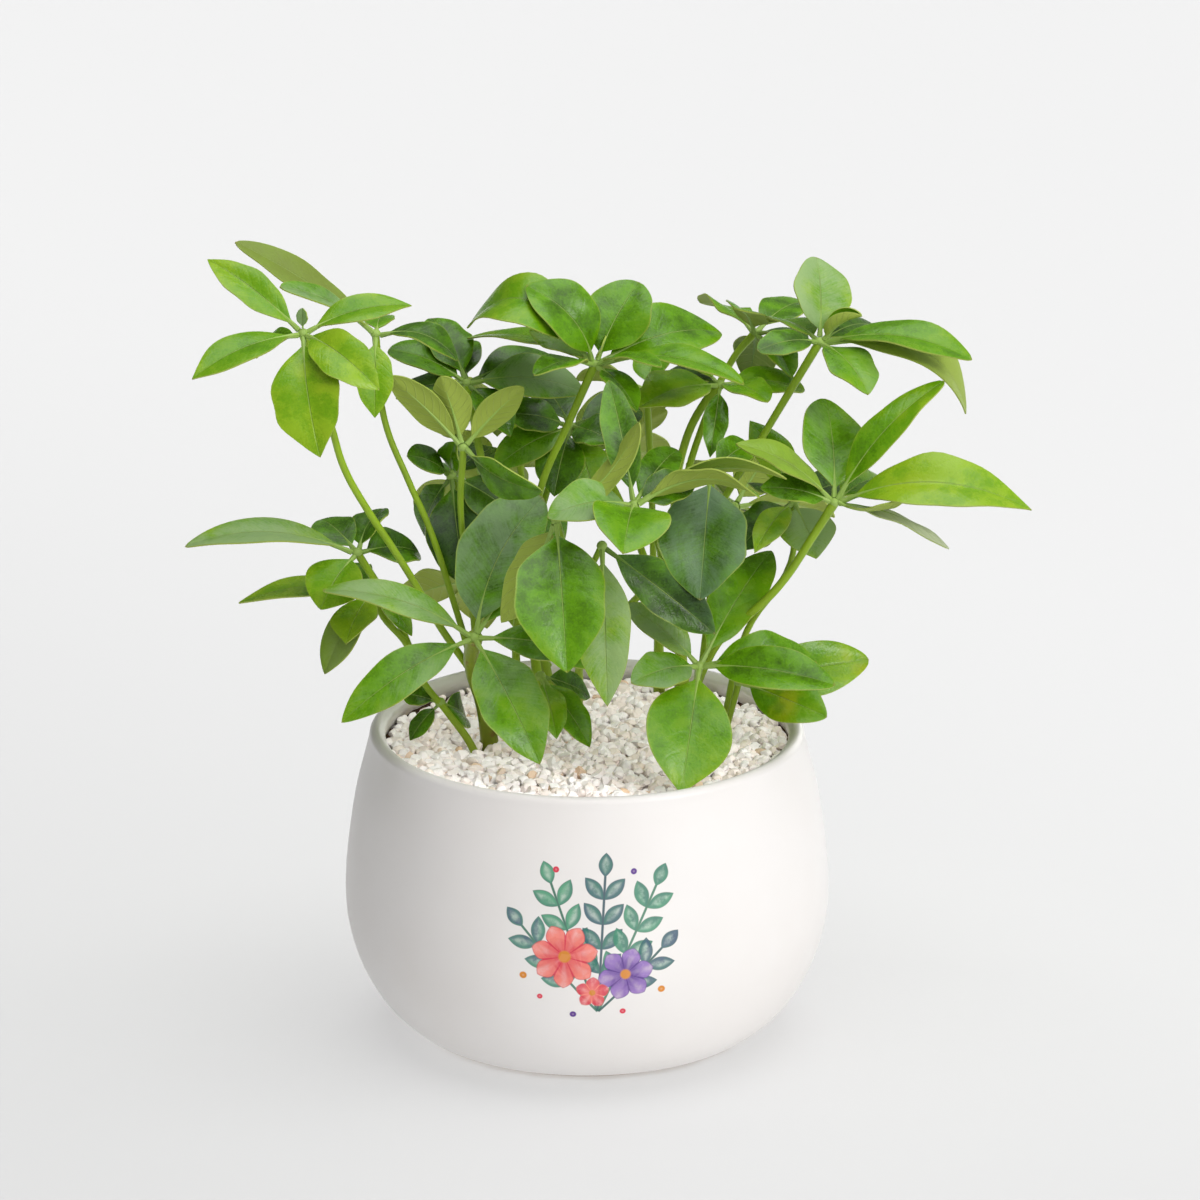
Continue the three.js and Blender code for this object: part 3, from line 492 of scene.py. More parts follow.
# A generic painted posy on the front, in millimetres. Sprigs have a lean in degrees, a number of
# leaf pairs and two colours; flowers a centre, a radius, petals and two colours; berries a
# centre, a radius and a colour.
POSY_FOOT = (4, 37)
SPRIGS = (
    (130, 3, (SAGE, SLATE)), (109, 4, (TEAL, SAGE)), (87, 4, (SLATE, TEAL)),
    (66, 4, (SAGE, TEAL)), (46, 2, (TEAL, SLATE)),
)
SPRIG_START = 15
LEAF_PITCH = 9.2
LEAF_LENGTH = 11
LEAF_WIDTH = 2.8
LEAF_LEAN = math.radians(42)
END_LEAF = 9
FLOWERS = (
    ((-8, 59), 12.5, 7, (CORAL, BLUSH)), ((14, 52), 10.5, 6, (VIOLET, LILAC)),
    ((2, 45), 6.5, 5, (BLUSH, CORAL)),
)
BERRIES = (
    ((-11, 91), 1.3, CORAL), ((-23, 51), 1.5, OCHRE), ((-17, 43), 1.2, CORAL),
    ((-5, 36), 1.4, VIOLET), ((13, 37), 1.3, CORAL), ((27, 45), 1.5, OCHRE),
    ((17, 90), 1.3, VIOLET),
)


def painted_sprig(maker, x, z, lean, pairs):
    """Mask of a sprig with paired leaves and a leaf at its end, its depth and its leaf halves."""
    cos, sin = math.cos(math.radians(lean)), math.sin(math.radians(lean))
    along = (x - POSY_FOOT[0]) * cos + (z - POSY_FOOT[1]) * sin
    across = (z - POSY_FOOT[1]) * cos - (x - POSY_FOOT[0]) * sin
    reach = SPRIG_START + pairs * LEAF_PITCH
    far = abs(across)
    stem = (1 - far.smooth(0.3, 0.6)) * along.smooth(0, 0.6) * (1 - along.smooth(reach, reach + 1))
    step = ((along - SPRIG_START) / LEAF_PITCH).fraction() * LEAF_PITCH - 0.4
    length = (step * math.cos(LEAF_LEAN) + far * math.sin(LEAF_LEAN)) / LEAF_LENGTH
    width = far * math.cos(LEAF_LEAN) - step * math.sin(LEAF_LEAN)
    outside = 1 - along.smooth(SPRIG_START - 0.1, SPRIG_START) + along.smooth(reach, reach + 0.1)
    paired = length * (1 - length) * (4 * LEAF_WIDTH) - abs(width) - outside * 9
    onward = (along - (reach - 0.5)) / END_LEAF
    depth = maker.math("MAXIMUM", paired, onward * (1 - onward) * (4 * LEAF_WIDTH) - far)
    return maker.math("MAXIMUM", stem, depth.smooth(0, 0.4)), depth, width.smooth(-0.5, 0.5)


def painted_flower(maker, x, z, centre, radius, petals):
    """Mask of an open flower, distance from its centre, middle of each petal and its depth."""
    right, up = x - centre[0], z - centre[1]
    far = (right * right + up * up) ** 0.5
    turn = maker.math("ARCTAN2", up, right) * (petals / FULL_TURN) + 0.3
    middle = 1 - abs(turn.fraction() * 2 - 1)
    depth = (middle ** 0.5 * 0.36 + 0.64) * radius - far
    return depth.smooth(0, 0.5), far / radius, middle, depth


def painted_posy(maker, x, z, plain):
    """The posy in thin watercolour over the plain glaze."""
    wash = maker.noise(230, 4, 0.65).smooth(0.3, 0.7)
    painted = plain
    for lean, pairs, (deep, light) in SPRIGS:
        mask, depth, side = painted_sprig(maker, x, z, lean, pairs)
        ink = maker.layers(
            light, (wash * 0.45 + side * 0.35, deep),
            (depth.smooth(0.9, 2.4) * wash * 0.55, (0.72, 0.82, 0.7)),
            ((1 - depth.smooth(0.15, 0.7)) * 0.75, darker(deep, 0.45)))
        painted = maker.mix(mask * 0.93, painted, ink)
    for centre, radius, petals, (deep, light) in FLOWERS:
        mask, far, middle, depth = painted_flower(maker, x, z, centre, radius, petals)
        ink = maker.layers(
            light, (wash * 0.4 + (1 - far.smooth(0.2, 0.75)) * 0.5, deep),
            (middle.smooth(0.45, 0.9) * wash * far * 0.5, PETAL_LIGHT),
            (1 - middle.smooth(0.04, 0.18), deep),
            ((1 - depth.smooth(0.2, 0.8)) * 0.75, darker(deep, 0.35)),
            (1 - far.smooth(0.14, 0.22), OCHRE))
        painted = maker.mix(mask * 0.95, painted, ink)
    for centre, radius, colour in BERRIES:
        right, up = x - centre[0], z - centre[1]
        far = (right * right + up * up) ** 0.5
        ink = maker.mix((1 - far.smooth(0.0, 0.7)) * 0.25, colour, PETAL_LIGHT)
        painted = maker.mix((radius - far).smooth(0, 0.4), painted, ink)
    return painted


def glazed_ceramic(settings):
    maker = MaterialMaker("glazed_ceramic")
    x, y, z = maker.xyz(maker.place)
    warmer = tuple(c * f for c, f in zip(settings.glaze, (0.975, 0.965, 0.955)))
    tint = maker.mix(maker.noise(18, 3).smooth(0.3, 0.7), settings.glaze, warmer)
    speck = maker.node("ShaderNodeTexVoronoi", None, {"Vector": maker.place, "Scale": 62})
    chosen = maker.xyz(speck.beside("Color"))[0].smooth(0.93, 0.95)
    dust = (1 - speck.smooth(0.018, 0.035)) * chosen
    plain = maker.mix(dust * 0.6, tint, (0.3, 0.2, 0.12))
    front = (y * -1).smooth(0.02, 0.03)
    body = maker.mix(front, plain, painted_posy(maker, x / MM, z / MM, plain))
    bare = 1 - (z + (maker.noise(90, 2) - 0.5) * 0.0012).smooth(
        settings.foot_line * 0.8, settings.foot_line * 1.25)
    clay = maker.mix(maker.noise(600, 2), settings.clay, darker(settings.clay, 0.4))
    colour = maker.mix(bare, body, clay)
    roughness = maker.noise(70, 2) * 0.1 + 0.34 + bare * 0.4
    ripple = maker.noise(38, 2) * 0.7 + maker.noise(420, 2) * 0.06
    return maker.finish(colour, roughness, maker.bump(ripple, 0.0004, 0.5), Coat_Weight=0.12,
                        Coat_Roughness=0.25)


def potting_soil():
    maker = MaterialMaker("potting_soil")
    crumbs = maker.noise(420, 5, 0.7)
    colour = maker.ramp(crumbs, (
        (0.3, (0.018, 0.008, 0.004)), (0.52, (0.09, 0.035, 0.018)), (0.72, (0.23, 0.1, 0.05))))
    return maker.finish(colour, maker.noise(300, 2) * 0.2 + 0.75, maker.bump(crumbs, 0.0015))


def stone_chips():
    """Marble-like chips: mostly white and pale grey, some beige and a few tan ones."""
    maker = MaterialMaker("stone_chips")
    hue, light, _ = maker.xyz(maker.attribute("chip_look", "Vector"))
    base = maker.ramp(hue, (
        (0.0, (0.95, 0.9, 0.88)), (0.35, (0.98, 0.965, 0.955)), (0.6, (0.93, 0.87, 0.84)),
        (0.82, (0.95, 0.86, 0.8)), (0.95, (0.86, 0.78, 0.7)), (1.0, (0.7, 0.48, 0.3))))
    grain = maker.noise(420, 4, 0.6)
    veined = maker.mix(grain.smooth(0.5, 0.8) * 0.25, base, (0.66, 0.58, 0.53))
    colour = maker.mix(light * 0.14, veined, (0.56, 0.5, 0.47))
    return maker.finish(colour, grain * 0.2 + 0.6, maker.bump(grain, 0.0003, 0.6))


def leaf_tone(maker):
    look = maker.attribute("leaf_look", "Color")
    return maker.node("ShaderNodeSeparateColor", None, {"Color": look})


def leaf_terms(maker):
    """Where on its leaflet a place is, across, along and from the midrib, and the look there."""
    tone = leaf_tone(maker)
    return (*maker.xyz(maker.attribute("leaf_spot", "Vector")),
            tone, tone.beside(1), tone.beside(2), maker.attribute("leaf_look", "Alpha"))


def leaf_veins(maker, across, along, sharp):
    """Soft lines that leave the midrib at an angle and bend towards the tip."""
    wander = (maker.noise(60, 2) - 0.5) * 1.1
    line = (along - abs(across) * 0.16 - abs(across) ** 2 * 0.05) * 8.5 + wander
    ridge = abs(line.fraction() - 0.5)
    return 1 - ridge.smooth(0, sharp)


def leaf_top(settings):
    """Leathery green with brighter margins, dark clouds, fine grain and a bluish bloom of dust and
    painted sheen.
    """
    maker = MaterialMaker("leaf_top")
    across, along, rib, tone, sheen, olive, blotch = leaf_terms(maker)
    broad = maker.noise(42, 2, 0.5, None, 0.6)
    middle = maker.noise(150, 4, 0.62)
    fine = maker.noise(1300, 2, 0.6)
    edge = abs(across) ** 2
    veins = leaf_veins(maker, across, along, 0.2)
    # The tone holds the leaflet's own colour and painted light and shade: darker where it lies in
    # shade, brighter where it lies in light.
    depth = (tone + (broad.smooth(0.3, 0.7) - 0.5) * 0.28 + (middle.smooth(0.3, 0.7) - 0.5) * 0.24
             + (fine - 0.5) * 0.4 + edge * 0.12 + along ** 2 * 0.1 - 0.1 + veins * 0.03)
    shaded, mature, young = settings.shaded, settings.mature, settings.young
    green = maker.ramp(depth, (
        (0.0, shaded), (0.27, between(shaded, mature, 0.36)), (0.55, mature),
        (0.8, between(mature, young, 0.42)), (1.0, young)))
    slant = maker.node("ShaderNodeCombineXYZ", None, {
        0: across * 1.5, 1: (along - abs(across) * 0.16) * 60, 2: broad * 9})
    streaks = maker.noise(1, 3, 0.6, slant)
    # Painted sheen: bluish-white patches and streaks in the colour, partly dust and partly a
    # painted reflection, strongest on silvery leaflets and on one half of each blade as if lit
    # from that side.
    dust_and_sheen_field = (maker.noise(48, 4, 0.6, None, 0.8) + (sheen - 0.5) * 0.42 + (streaks - 0.5) * 0.34
             + (fine - 0.5) * 0.12 - across * 0.1)
    dust_and_sheen = dust_and_sheen_field.smooth(0.44, 0.8) * sheen
    tint = maker.mix(tone.smooth(0.15, 0.7), (0.11, 0.215, 0.12), (0.33, 0.47, 0.22))
    dull = maker.mix(tone.smooth(0.2, 0.55), (0.13, 0.17, 0.025), settings.underside)
    patch = blotch * maker.noise(75, 2).smooth(0.52, 0.75)
    midline = (1 - abs(rib).smooth(0.08, 0.34)) * (1 - along.smooth(0.5, 1.0) * 0.8)
    margin = abs(across).smooth(0.95, 0.99)
    tip = along.smooth(0.975, 1.0)
    # The first coat is the dust with its painted sheen.
    green = maker.layers(
        green, (dust_and_sheen * (sheen * 0.45 + 0.4), tint), (olive * 0.8, dull),
        (patch * 0.7, (0.42, 0.45, 0.01)), (midline * 0.62, (0.36, 0.5, 0.13)),
        (margin * 0.55, (0.34, 0.44, 0.05)), (tip * 0.6, (0.3, 0.25, 0.04)))
    rough = middle * 0.26 + 0.14 + dust_and_sheen * 0.2 + olive * 0.2
    relief = fine * 0.14 + middle * 0.5 - veins * 0.05 - midline * 0.6
    return maker.finish(green, rough, maker.bump(relief, 0.0008, 0.75), Specular_IOR_Level=0.36)


def leaf_underside(settings):
    """Matte and paler, with faint raised veins."""
    maker = MaterialMaker("leaf_underside")
    across, along, _, tone, *_ = leaf_terms(maker)
    broad = maker.noise(60, 2)
    veins = leaf_veins(maker, across, along, 0.1)
    margin = abs(across).smooth(0.95, 0.99)
    colour = maker.layers(
        settings.underside, (broad, darker(settings.underside, 0.2)),
        # Dimmer leaflets are darker below too, which carries their painted shade.
        (1 - tone.smooth(0, 0.5), (0.12, 0.2, 0.035)),
        (tone.smooth(1.0, 1.15) * 0.7, (0.7, 0.76, 0.6)), (veins * 0.25, (0.45, 0.55, 0.17)),
        (margin * 0.6, (0.42, 0.52, 0.1)))
    relief = veins * 0.5 + maker.noise(500, 2) * 0.15
    return maker.finish(colour, broad * 0.1 + 0.5, maker.bump(relief, 0.0005, 0.6),
                        Specular_IOR_Level=0.25)


def leaf_rib():
    """Pale green midribs, short stalks and knuckles."""
    maker = MaterialMaker("leaf_rib")
    tone = leaf_tone(maker)
    mottle = maker.noise(300, 3)
    pale = maker.mix(mottle, (0.27, 0.44, 0.06), (0.4, 0.56, 0.15))
    # Ribs of dimmer leaflets are darker, which carries their painted shade.
    colour = maker.mix(tone.smooth(0.1, 0.5), (0.12, 0.22, 0.03), pale)
    return maker.finish(colour, mottle * 0.15 + 0.4, maker.bump(mottle, 0.0003, 0.4),
                        Specular_IOR_Level=0.35)


def green_stalk(settings):
    """Smooth yellow-green stalks; the main stems are olive, scarred and corky at the foot."""
    maker = MaterialMaker("green_stalk")
    _, _, z = maker.xyz(maker.place)
    woody = leaf_tone(maker)
    lengthwise = maker.node(
        "ShaderNodeMapping", None, {"Vector": maker.place, "Scale": (700, 700, 60)})
    streaks = maker.noise(1, 3, 0.6, lengthwise)
    mottle = maker.noise(55, 3)
    olive = maker.mix(streaks, (0.15, 0.21, 0.008), (0.3, 0.36, 0.02))
    corky = 1 - (z + (mottle - 0.5) * 0.012).smooth(0.111, 0.125)
    scars = maker.noise(170, 2).smooth(0.66, 0.78) * woody
    colour = maker.layers(
        settings.stalk, (mottle.smooth(0.3, 0.7), darker(settings.stalk, 0.25)),
        (streaks.smooth(0.45, 0.75) * 0.4, (0.33, 0.48, 0.05)), (woody * 0.7, olive),
        (corky * 0.3, (0.24, 0.2, 0.02)), (scars * 0.7, (0.24, 0.13, 0.03)))
    return maker.finish(colour, streaks * 0.15 + 0.36 + corky * 0.15,
                        maker.bump(streaks, 0.0004, 0.6), Specular_IOR_Level=0.35)


def studio_floor():
    """Plain matte grey with a painted light falloff: it brightens towards the back and the right.
    """
    maker = MaterialMaker("studio_floor")
    x, y, _ = maker.xyz(maker.place)
    grey = maker.ramp((y + x * 1.1).smooth(-0.6, 0.8), (
        (0.0, (0.465,) * 3), (0.5, (0.505,) * 3), (1.0, (0.545,) * 3)))
    return maker.finish(grey, maker.noise(3, 2) * 0.1 + 0.85, Specular_IOR_Level=0.1)


# ------------------------------------------------------------------ modelling helpers
def select_only(*pieces):
    """Selects these pieces alone and makes the first of them the active one."""
    bpy.ops.object.select_all(action="DESELECT")
    for piece in pieces:
        piece.select_set(True)
    if pieces:
        bpy.context.view_layer.objects.active = pieces[0]


def begin(adder, **where):
    """Adds a primitive with nothing else selected and returns its object."""
    select_only()
    adder(**where)
    return bpy.context.object


def settle(piece, name):
    """Names a piece and applies its place, so that it sits at the origin."""
    select_only(piece)
    bpy.ops.object.transform_apply(location=True, rotation=True, scale=True)
    piece.name = name
    piece.data.name = name
    return piece


def edit(piece, *steps):
    """Runs edit-mode steps on all of a piece."""
    select_only(piece)
    bpy.ops.object.mode_set(mode="EDIT")
    bpy.ops.mesh.select_all(action="SELECT")
    for step, options in steps:
        step(**options)
    bpy.ops.object.mode_set(mode="OBJECT")


def apply_modifier(piece, kind, **settings):
    """Adds a modifier with these settings and applies it."""
    select_only(piece)
    modifier = piece.modifiers.new(kind.lower(), kind)
    for key, value in settings.items():
        setattr(modifier, key, value)
    bpy.ops.object.modifier_apply(modifier=modifier.name)


def corners(mesh):
    """A mesh's corners as an array."""
    found = np.zeros(len(mesh.vertices) * 3)
    mesh.vertices.foreach_get("co", found)
    return found.reshape(-1, 3)


def copies(name, pattern, places, looks, attribute, kind):
    """One mesh with a copy of the pattern's for each array of corners and with each one's look."""
    faces = [tuple(face.vertices) for face in pattern.data.polygons]
    count = len(pattern.data.vertices)
    shifted = [tuple(v + i * count for v in face) for i in range(len(places)) for face in faces]
    mesh = bpy.data.meshes.new(name)
    mesh.from_pydata(np.concatenate(places).tolist(), [], shifted)
    layer = mesh.attributes.new(attribute, kind, "POINT")
    values = np.concatenate([np.broadcast_to(look, (count, len(look))) for look in looks])
    field = "color" if kind == "FLOAT_COLOR" else "vector"
    layer.data.foreach_set(field, values.astype(np.float32).ravel())
    piece = bpy.data.objects.new(name, mesh)
    bpy.context.scene.collection.objects.link(piece)
    return piece


def join(name, pieces):
    select_only(*pieces)
    bpy.ops.object.join()
    return settle(bpy.context.object, name)


def shade(piece, degrees):
    """Smooth shading, with edges sharper than this kept as edges."""
    select_only(piece)
    bpy.ops.object.shade_smooth_by_angle(angle=math.radians(degrees))


def place_piece(piece, slot, *nodes):
    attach(piece, "root")
    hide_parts(*nodes)


# ------------------------------------------------------------------ pot, soil and gravel
def smooth_outline(points, steps):
    """A Catmull-Rom curve through the points of an outline."""
    guides = [points[0], *points, points[-1]]
    curve = []
    for a, b, c, d in zip(guides, guides[1:], guides[2:], guides[3:]):
        a, b, c, d = (np.array(p, float) for p in (a, b, c, d))
        for share in np.arange(steps) / steps:
            curve.append(0.5 * (2 * b + (c - a) * share + (2 * a - 5 * b + 4 * c - d) * share ** 2
                                + (3 * b - a - 3 * c + d) * share ** 3))
    return [*curve, np.array(points[-1], float)]


def build_pot(settings):
    """Spins the outline of the wall round the axis and closes the foot and the floor."""
    outline = smooth_outline([*OUTSIDE, *LIP, *INSIDE], 5)
    outline = [(0, 0), *outline, (0, INSIDE[-1][1])]
    pot = begin(bpy.ops.mesh.primitive_circle_add, vertices=len(outline), radius=1)
    for vertex, (radius, height) in zip(pot.data.vertices, outline):
        vertex.co = (radius * BELLY, 0, height * LIP_TOP)
    pot.data.edges.foreach_set("vertices", [
        v for i in range(len(outline)) for v in (i, (i + 1) % len(outline))])
    edit(pot,
         (bpy.ops.mesh.spin, {"steps": settings.sides, "angle": FULL_TURN, "axis": (0, 0, 1),
                              "center": (0, 0, 0)}),
         (bpy.ops.mesh.select_all, {"action": "SELECT"}),
         (bpy.ops.mesh.remove_doubles, {"threshold": 1e-6}),
         (bpy.ops.mesh.normals_make_consistent, {"inside": False}))
    settle(pot, "ceramic_pot")
    shade(pot, 45)
    pot.data.materials.append(glazed_ceramic(settings))
    place_piece(pot, "pot", "pot")


def wall_radius(height):
    """Inside radius of the pot at a height near its mouth."""
    points = sorted((z * LIP_TOP, r * BELLY) for r, z in (*LIP, *INSIDE) if r < MOUTH)
    return float(np.interp(height, *zip(*points)))


def build_soil(settings):
    """A crumbly bed that fills the pot and swells towards its wall in places."""
    level = settings.soil_level
    bed = begin(bpy.ops.mesh.primitive_grid_add, x_subdivisions=120, y_subdivisions=40, size=2)
    draw = random.Random(settings.seed)
    waves = [
        (draw.uniform(150, 700), draw.uniform(0, 6.3), draw.uniform(0, 6.3)) for _ in range(12)]
    top = wall_radius(level) - 0.5 * MM
    for vertex in bed.data.vertices:
        turn = (vertex.co.x + 1) * math.pi
        share = (vertex.co.y + 1) / 2
        x, y = share * top * math.cos(turn), share * top * math.sin(turn)
        lumps = sum(math.sin(f * x + a) * math.sin(f * y + b) for f, a, b in waves)
        rim = max(0.0, share - SOIL_RIM) / (1 - SOIL_RIM)
        vertex.co = (x, y, level + lumps * SOIL_LUMPS + rim * SOIL_SWELL)
    edit(bed, (bpy.ops.mesh.remove_doubles, {"threshold": 1e-6}))
    upper = len(bed.data.vertices)
    edit(bed, (bpy.ops.mesh.extrude_region_move, {
        "TRANSFORM_OT_translate": {"value": (0, 0, SOIL_BOTTOM - level)}}))
    for vertex in bed.data.vertices[upper:]:
        vertex.co = (vertex.co.x * SOIL_NARROWS, vertex.co.y * SOIL_NARROWS, SOIL_BOTTOM)
    edit(bed, (bpy.ops.mesh.normals_make_consistent, {"inside": False}))
    settle(bed, "potting_soil")
    shade(bed, 60)
    bed.data.materials.append(potting_soil())
    place_piece(bed, "soil", "soil")


def chip_pattern(draw):
    """One angular chip: a ball cut flat by eight random planes."""
    chip = begin(bpy.ops.mesh.primitive_ico_sphere_add, subdivisions=2, radius=1)
    for _ in range(8):
        way = Vector((draw.gauss(0, 1), draw.gauss(0, 1), draw.gauss(0, 1))).normalized()
        edit(chip, (bpy.ops.mesh.bisect, {
            "plane_co": way * draw.uniform(0.55, 0.8), "plane_no": way, "use_fill": True,
            "clear_outer": True}))
    apply_modifier(chip, "DECIMATE", ratio=0.55)
    return chip


def lies_clear(x, y):
    """Whether a place on the gravel is clear of all stems."""
    return all(math.hypot(x - root[0] * MM, y - root[1] * MM) > (root[2] + STEM_ROOM) * MM
               for root, _ in STEMS.values())


def scattered(settings, draw):
    """Places and sizes of the chips: layers of hexagons, shaken up a little."""
    for drop, spread, growth in CHIP_LAYERS:
        pitch = settings.chip_pitch * spread
        count = int(GRAVEL_HIGH.x / pitch) + 2
        for row in range(-count, count + 1):
            for column in range(-count, count + 1):
                x = (column + row % 2 / 2 + draw.uniform(-CHIP_STRAY, CHIP_STRAY)) * pitch
                y = (row * CHIP_ROW + draw.uniform(-CHIP_STRAY, CHIP_STRAY)) * pitch
                size = settings.chip_size * growth * draw.uniform(*CHIP_SIZES)
                z = GRAVEL_HIGH.z - size * CHIP_DEPTH + drop - abs(draw.gauss(0, 0.5)) * MM
                room = wall_radius(z) - size * CHIP_REACH
                if math.hypot(x, y) < room and lies_clear(x, y):
                    yield x, y, z, size


def build_gravel(settings):
    """Turned and stretched copies of a few chips, with flat tops where they would stand proud."""
    draw = random.Random(settings.seed)
    patterns = [chip_pattern(draw) for _ in range(CHIP_SHAPES)]
    shapes = [corners(pattern.data) for pattern in patterns]
    places = [[] for _ in patterns]
    looks = [[] for _ in patterns]
    for x, y, z, size in scattered(settings, draw):
        which = draw.randrange(len(patterns))
        stretch = np.array((1, draw.uniform(0.6, 0.95), draw.uniform(0.45, 0.8))) * size
        turn = Euler((draw.gauss(0, 0.5), draw.gauss(0, 0.5), draw.uniform(0, 6.3))).to_matrix()
        body = (shapes[which] * stretch) @ np.array(turn).T + (x, y, z)
        body[:, 2] = np.minimum(body[:, 2], GRAVEL_HIGH.z)
        places[which].append(body)
        looks[which].append((draw.random(), draw.random(), draw.random()))
    heaps = [copies("chips", *rows, "chip_look", "FLOAT_VECTOR")
             for rows in zip(patterns, places, looks)]
    gravel = join("gravel_chips", heaps)
    for pattern in patterns:
        bpy.data.objects.remove(pattern)
    shade(gravel, 28)
    gravel.data.materials.append(stone_chips())
    place_piece(gravel, "gravel", "gravel")


# ------------------------------------------------------------------ foliage
def unit(vector):
    return vector / np.linalg.norm(vector, axis=-1, keepdims=True)


def seen(offset):
    """A vector given as seen from the front."""
    right, rise, near = offset
    return RIGHT * right + RISE * rise + NEAR * near


class Midrib:
    """The arched line that a leaflet follows from its hub to its tip."""

    def __init__(self, hub, faces, leaflet):
        right, rise, near, width, *given = leaflet
        arch, roll, sway = (*given, *USUAL_SHAPE[len(given):])
        offset = seen((right, rise, near)) * MM
        along = unit(offset)
        self.width = width * MM
        self.start = np.array(hub) * MM + along * LEAFLET_SEAT
        reach = offset - along * LEAFLET_SEAT
        self.length = np.linalg.norm(reach)
        self.droop = float(np.clip(-1.3 * rise * MM / self.length - 0.3, 0, 1))
        up = seen(faces)
        up = unit(up - along * up.dot(along))
        self.up = np.array(Matrix.Rotation(math.radians(roll), 3, Vector(along)) @ Vector(up))
        side = np.cross(along, self.up)
        self.bend = self.start + reach / 2 + (self.up * arch + side * sway) * 2 * self.length
        self.tip = self.start + reach

    def at(self, share):
        """Points, sideways and upward directions at an array of shares of the midrib."""
        share = share[:, None]
        point = ((1 - share) ** 2 * self.start + 2 * share * (1 - share) * self.bend
                 + share ** 2 * self.tip)
        along = unit((1 - share) * (self.bend - self.start) + share * (self.tip - self.bend))
        up = unit(self.up - along * (along @ self.up)[:, None])
        return point, np.cross(along, up), up


def blade_fullness(share, belly, base, tip):
    """Half width of a blade, as a share of its widest, along the leaflet.

    A larger belly puts the widest place nearer the tip, and the larger base and tip are, the
    more slowly the blade widens there.
    """
    inner = np.clip((share - BLADE_START) / (1 - BLADE_START), 0, 1)
    near_base = np.clip(1 - inner / 0.4, 0, 1) ** 2
    near_tip = np.clip((inner - 0.5) / 0.48, 0, 1)
    near_tip = near_tip ** 2 * (3 - 2 * near_tip)
    return np.sin(np.pi * inner ** belly) ** (0.6 + base * near_base + tip * near_tip)


def blade_pattern():
    """A flat grid whose X runs across a leaflet and whose Y runs along it."""
    return begin(bpy.ops.mesh.primitive_grid_add, x_subdivisions=12, y_subdivisions=24, size=2)


def rib_pattern():
    """A rod with rings along Z, for the short stalk and midrib of a leaflet."""
    rod = begin(bpy.ops.mesh.primitive_circle_add, vertices=7, radius=1, fill_type="NGON")
    ring = (bpy.ops.mesh.extrude_region_move, {
        "TRANSFORM_OT_translate": {"value": (0, 0, 1 / RIB_RINGS)}})
    edit(rod, *[ring] * RIB_RINGS, (bpy.ops.mesh.select_all, {"action": "SELECT"}),
         (bpy.ops.mesh.normals_make_consistent, {"inside": False}))
    return rod


def blade_corners(flat, midrib, curl, pointed, thickness, draw):
    """Bends the flat pattern into one leaflet, with its own fold, waves and twist."""
    # The grid's lines lie closer together at the midrib and at both ends.
    across = np.sign(flat[:, 0]) * np.abs(flat[:, 0]) ** 1.25
    row = (flat[:, 1] + 1) / 2
    row = 0.45 * row + 0.55 * (0.5 - 0.5 * np.cos(np.pi * row))
    share = BLADE_START + (1 - BLADE_START) * row
    point, sideways, up = midrib.at(share)
    full = blade_fullness(share, draw.uniform(0.93, 1.08), draw.uniform(0.3, 0.75),
                          draw.uniform(-0.06, 0.16) + 0.32 * pointed)
    half = midrib.width / 2 * full
    # Both halves rise from the midrib and level out towards the wavy margins.
    fold = BLADE_FOLD * draw.uniform(1.0, 2.2)
    twist = draw.gauss(0, 0.2) * (share - 0.3)
    rounded = np.sqrt(across ** 2 + 0.018) - 0.134
    lift = half * math.sin(fold) * (1.6 * rounded - 0.9 * across ** 2)
    phase = FULL_TURN * (draw.uniform(0.9, 2.1) * share + draw.random())
    wave = draw.uniform(0.02, 0.075) * midrib.width * across ** 2 * np.sin(
        phase + np.sign(across) * draw.uniform(0.4, 1.6))
    lift = lift + wave * (1 - share ** 4) * full
    uneven = 1 + 0.05 * np.sign(across) * math.sin(draw.uniform(0, 6.3)) + 0.035 * np.sin(
        phase * 1.7 + np.sign(across))
    out = across * half * math.cos(fold) * uneven
    # A young leaflet is still rolled up like a gutter.
    if curl:
        lift = half * (1 - np.cos(curl * across)) / curl
        out = half * np.sin(curl * across) / curl
    flatwise = out * np.cos(twist) - lift * np.sin(twist)
    upright = out * np.sin(twist) + lift * np.cos(twist)
    body = point + sideways * flatwise[:, None] + up * upright[:, None]
    body = np.clip(body, np.array(CAD_LOW) + thickness / 2, np.array(CAD_HIGH) - thickness / 2)
    return body, np.column_stack((across, share, across * half / MM))


def rib_corners(rod, midrib):
    """Bends the rod along a leaflet, thick at its stalk and half sunk in the blade."""
    share = rod[:, 2] * RIB_END
    point, sideways, up = midrib.at(share)
    radius = np.interp(share, (0, 0.1, 0.2, 0.45, RIB_END), (1.1, 0.85, 0.62, 0.4, 0.1)) * MM
    radius *= min(1.0, midrib.width / (14 * MM))
    sunk = np.interp(share, (0, 0.12, 0.3, RIB_END), (0, 0.15, 0.16, 0.05)) * MM
    return (point + sideways * (rod[:, 0] * radius)[:, None]
            + up * (rod[:, 1] * radius - sunk)[:, None])


def marked(piece, tone):
    """The piece with one tone all over for its finish."""
    layer = piece.data.attributes.new("leaf_look", "FLOAT_COLOR", "POINT")
    layer.data.foreach_set("color", [tone, 0, 0, 0] * len(piece.data.vertices))
    return piece


def build_stalk(points, radii, woody):
    """A smooth round stalk through the points, thicker where the radii say so."""
    stalk = begin(bpy.ops.curve.primitive_bezier_curve_add)
    curve = stalk.data
    spline = curve.splines[0]
    spline.bezier_points.add(len(points) - 2)
    for knot, place, radius in zip(spline.bezier_points, points, radii):
        knot.co = Vector(place) * MM
        knot.handle_left_type = knot.handle_right_type = "AUTO"
        knot.radius = radius
    curve.bevel_depth = MM
    curve.bevel_resolution = 2
    curve.resolution_u = 7
    curve.use_fill_caps = True
    bpy.ops.object.convert(target="MESH")
    return marked(bpy.context.object, woody)


